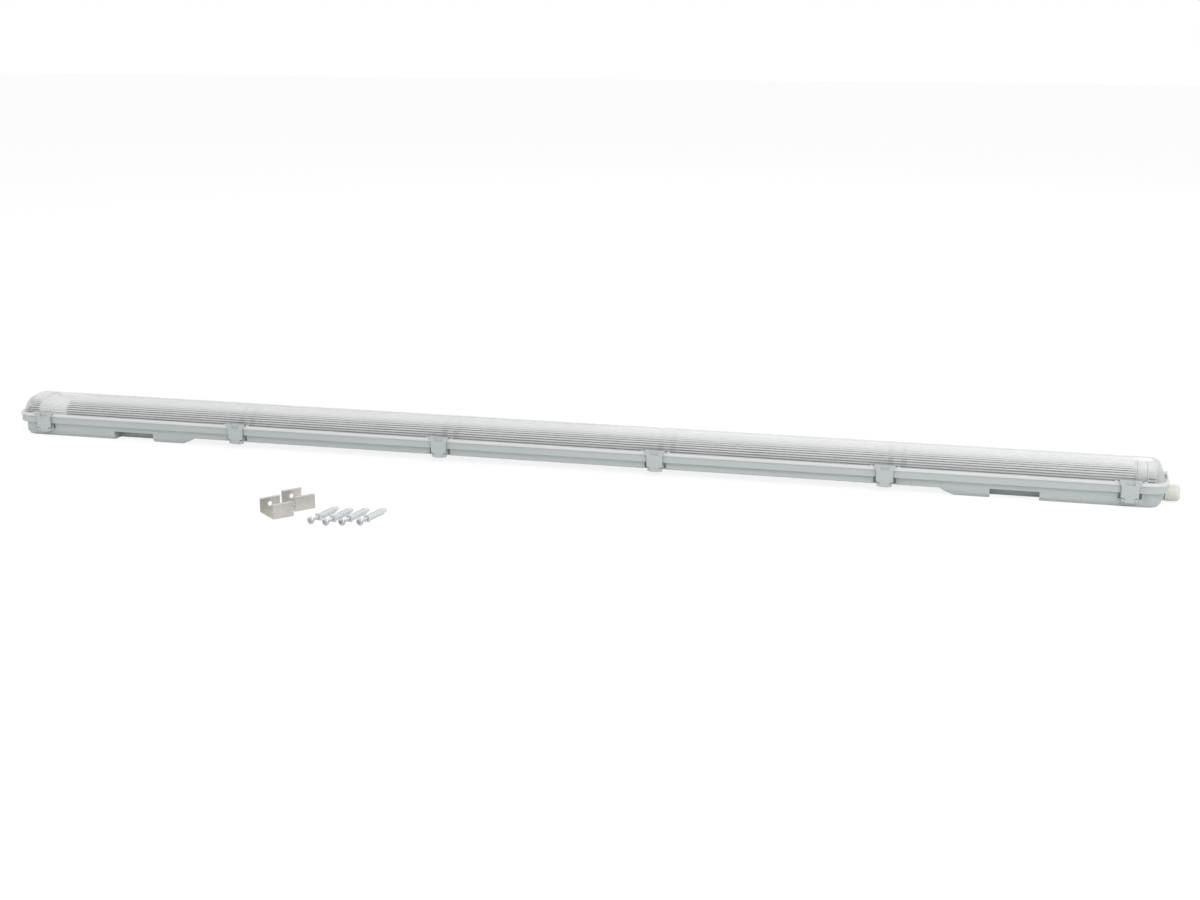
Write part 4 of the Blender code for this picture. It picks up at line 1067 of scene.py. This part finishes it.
class FIXTURE_OT_fixings(bpy.types.Operator):
    """Model the wall brackets and the screws in their plugs"""
    bl_idname = "fixture.make_fixings"
    bl_label = "Make loose fixings"

    def execute(self, context):
        settings = context.scene.fixture.fixing
        steel = metal("bracket_stainless", settings.steel, 0.30)
        for number in (1, 2):
            dress_copy(f"mounting_bracket_{number}", "pressing", steel, SMALL_EDGE)
        zinc = metal("wall_screw_zinc", settings.zinc, 0.24)
        nylon = moulded("plug_nylon", settings.plug, 0.42)
        screw = make_screw("wall_screw_model", *WALL_SCREW, WALL_SCREW_LENGTH, WALL_SCREW_PITCH)
        plug = make_plug("plug_model", PLUG_LENGTH)
        lie = Matrix.Rotation(-math.pi / 2, 4, "Y")
        for number, (x, y) in enumerate(SCREW_PLACES, 1):
            stand = Matrix.Translation((x, y, SCREW_AXIS_Z)) @ Matrix.Rotation(SCREW_TURN, 4, "Z")
            under_head = stand @ Matrix.Translation((HEAD_LENGTH, 0, 0)) @ lie
            turned = under_head @ Matrix.Rotation(0.4 * number, 4, "Z")
            one = placed_copy(screw, f"bracket_screw_{number}_threaded", turned)
            smooth(one, 40)
            dress(one, "fixture", "zinc_steel", zinc)
            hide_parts(f"bracket_screw_{number}")
            collar = stand @ Matrix.Translation((HEAD_LENGTH + SCREW_OUTSIDE, 0, 0))
            two = placed_copy(plug, f"wall_plug_{number}_ribbed", collar)
            smooth(two, 40)
            dress(two, "fixture", "plug_plastic", nylon)
            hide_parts(f"wall_plug_{number}")
        bpy.data.objects.remove(screw)
        bpy.data.objects.remove(plug)
        return {"FINISHED"}


# ---------------------------------------------------------------- stage

TARGET = Vector((0.06367, 0, 0.01977))
FOCAL_PIXELS = 1694.64
SENSOR = 36
FLOOR_SIZE = 24
FLOOR_DROP = 0.0002
FLOOR_GLOW = 1.07
FLOOR_GLOW_SHARE = 0.80
SURROUND_LIGHT = 0.62

# Each light's name, place, target, size and power.
LIGHTS = (("Key", (2.1, -2.1, 2.7), (0.3, 0, 0), 2.4, 66),
          ("Fill", (-2.6, -1.4, 2.2), (0, 0, 0), 2.8, 18),
          ("Back", (0.4, 2.6, 2.4), (0, 0, 0), 2.6, 26))


def view_direction(settings):
    """From the camera's target towards the camera."""
    level = math.cos(settings.elevation)
    return Vector((math.sin(settings.azimuth) * level, -math.cos(settings.azimuth) * level,
                   math.sin(settings.elevation)))


def direct_rays(tree):
    """In a node tree, 1 for camera, glossy and see-through rays and 0 for all others."""
    path = tree.nodes.new("ShaderNodeLightPath")
    largest = path.outputs["Is Camera Ray"]
    for kind in ("Is Glossy Ray", "Is Transmission Ray"):
        step = tree.nodes.new("ShaderNodeMath")
        step.operation = "MAXIMUM"
        tree.links.new(largest, step.inputs[0])
        tree.links.new(path.outputs[kind], step.inputs[1])
        largest = step.outputs[0]
    return largest


def add_light(name, place, target, size, power):
    bpy.ops.object.light_add(type="AREA", location=place)
    light = bpy.context.active_object
    light.name = name
    light.data.energy = power
    light.data.size = size
    light.rotation_mode = "QUATERNION"
    light.rotation_quaternion = (Vector(target) - Vector(place)).to_track_quat("-Z", "Y")


class FIXTURE_OT_stage(bpy.types.Operator):
    """Set the floor, lights, background and camera"""
    bl_idname = "fixture.make_stage"
    bl_label = "Make stage"

    def execute(self, context):
        settings = context.scene.fixture.stage
        scene = context.scene
        deselect()
        bpy.ops.object.camera_add()
        camera = bpy.context.active_object
        back = view_direction(settings)
        camera.location = TARGET + back * settings.distance
        camera.rotation_mode = "QUATERNION"
        camera.rotation_quaternion = (-back).to_track_quat("-Z", "Y")
        camera.data.sensor_width = SENSOR
        camera.data.lens = FOCAL_PIXELS * SENSOR / PHOTO_WIDTH
        camera.data.clip_start, camera.data.clip_end = 0.05, 100
        scene.camera = camera
        deselect()
        bpy.ops.mesh.primitive_plane_add(size=FLOOR_SIZE, location=(0, 0, -FLOOR_DROP))
        floor = named("studio_floor")
        floor.data.materials.append(self.floor_finish(settings))
        self.light_world(scene)
        for light in LIGHTS:
            add_light(*light)
        scene.view_settings.view_transform = "Standard"
        return {"FINISHED"}

    def floor_finish(self, settings):
        """A pale floor that the camera, glossy and see-through rays see near white."""
        finish = Finish("floor_white")
        finish.set("Base Color", settings.floor)
        finish.set("Roughness", 0.9)
        seen = Sock(finish, direct_rays(finish.tree))
        matt = Sock(finish, finish.shader.outputs[0])
        glow = finish.node("ShaderNodeEmission", {}, {"Color": (1, 1, 1), "Strength": FLOOR_GLOW})
        mixed = finish.node("ShaderNodeMixShader", {},
                            {0: seen * FLOOR_GLOW_SHARE, 1: matt, 2: glow})
        finish.tree.links.new(mixed.socket, finish.tree.nodes["Material Output"].inputs[0])
        return finish.material

    def light_world(self, scene):
        """A white surround that lights the fixture less brightly than it looks to the camera."""
        world = bpy.data.worlds.new("Studio")
        world.use_nodes = True
        scene.world = world
        tree = world.node_tree
        strength = tree.nodes.new("ShaderNodeMapRange")
        strength.inputs["To Min"].default_value = SURROUND_LIGHT
        strength.inputs["To Max"].default_value = 1.0
        tree.links.new(direct_rays(tree), strength.inputs["Value"])
        background = tree.nodes["Background"]
        background.inputs["Color"].default_value = (1, 1, 1, 1)
        tree.links.new(strength.outputs[0], background.inputs["Strength"])


# ---------------------------------------------------------------- panel and registration

MAKERS = ("make_stage", "make_housing", "make_cover", "make_clips", "make_gland", "make_lamp",
          "make_tray", "make_fixings")


class FIXTURE_PT_panel(bpy.types.Panel):
    """Sizes, colours and makers of the fixture"""
    bl_idname = "FIXTURE_PT_panel"
    bl_label = "Vapor tight fixture"
    bl_space_type = "VIEW_3D"
    bl_region_type = "UI"
    bl_category = "Fixture"

    def draw(self, context):
        for group in ("cover", "housing", "lamp", "fixing", "stage"):
            box = self.layout.box()
            box.label(text=group.title())
            settings = getattr(context.scene.fixture, group)
            for key in settings.__annotations__:
                box.prop(settings, key)
        for maker in MAKERS:
            self.layout.operator("fixture." + maker)


CLASSES = (CoverSettings, HousingSettings, LampSettings, FixingSettings, StageSettings,
           FixtureSettings, FIXTURE_OT_cover, FIXTURE_OT_housing, FIXTURE_OT_clips,
           FIXTURE_OT_gland, FIXTURE_OT_lamp, FIXTURE_OT_tray, FIXTURE_OT_fixings,
           FIXTURE_OT_stage, FIXTURE_PT_panel)


def register():
    for kind in CLASSES:
        bpy.utils.register_class(kind)
    bpy.types.Scene.fixture = bpy.props.PointerProperty(type=FixtureSettings)


def unregister():
    del bpy.types.Scene.fixture
    for kind in reversed(CLASSES):
        bpy.utils.unregister_class(kind)


def main():
    register()
    for maker in MAKERS:
        getattr(bpy.ops.fixture, maker)()


if __name__ == "__main__":
    main()
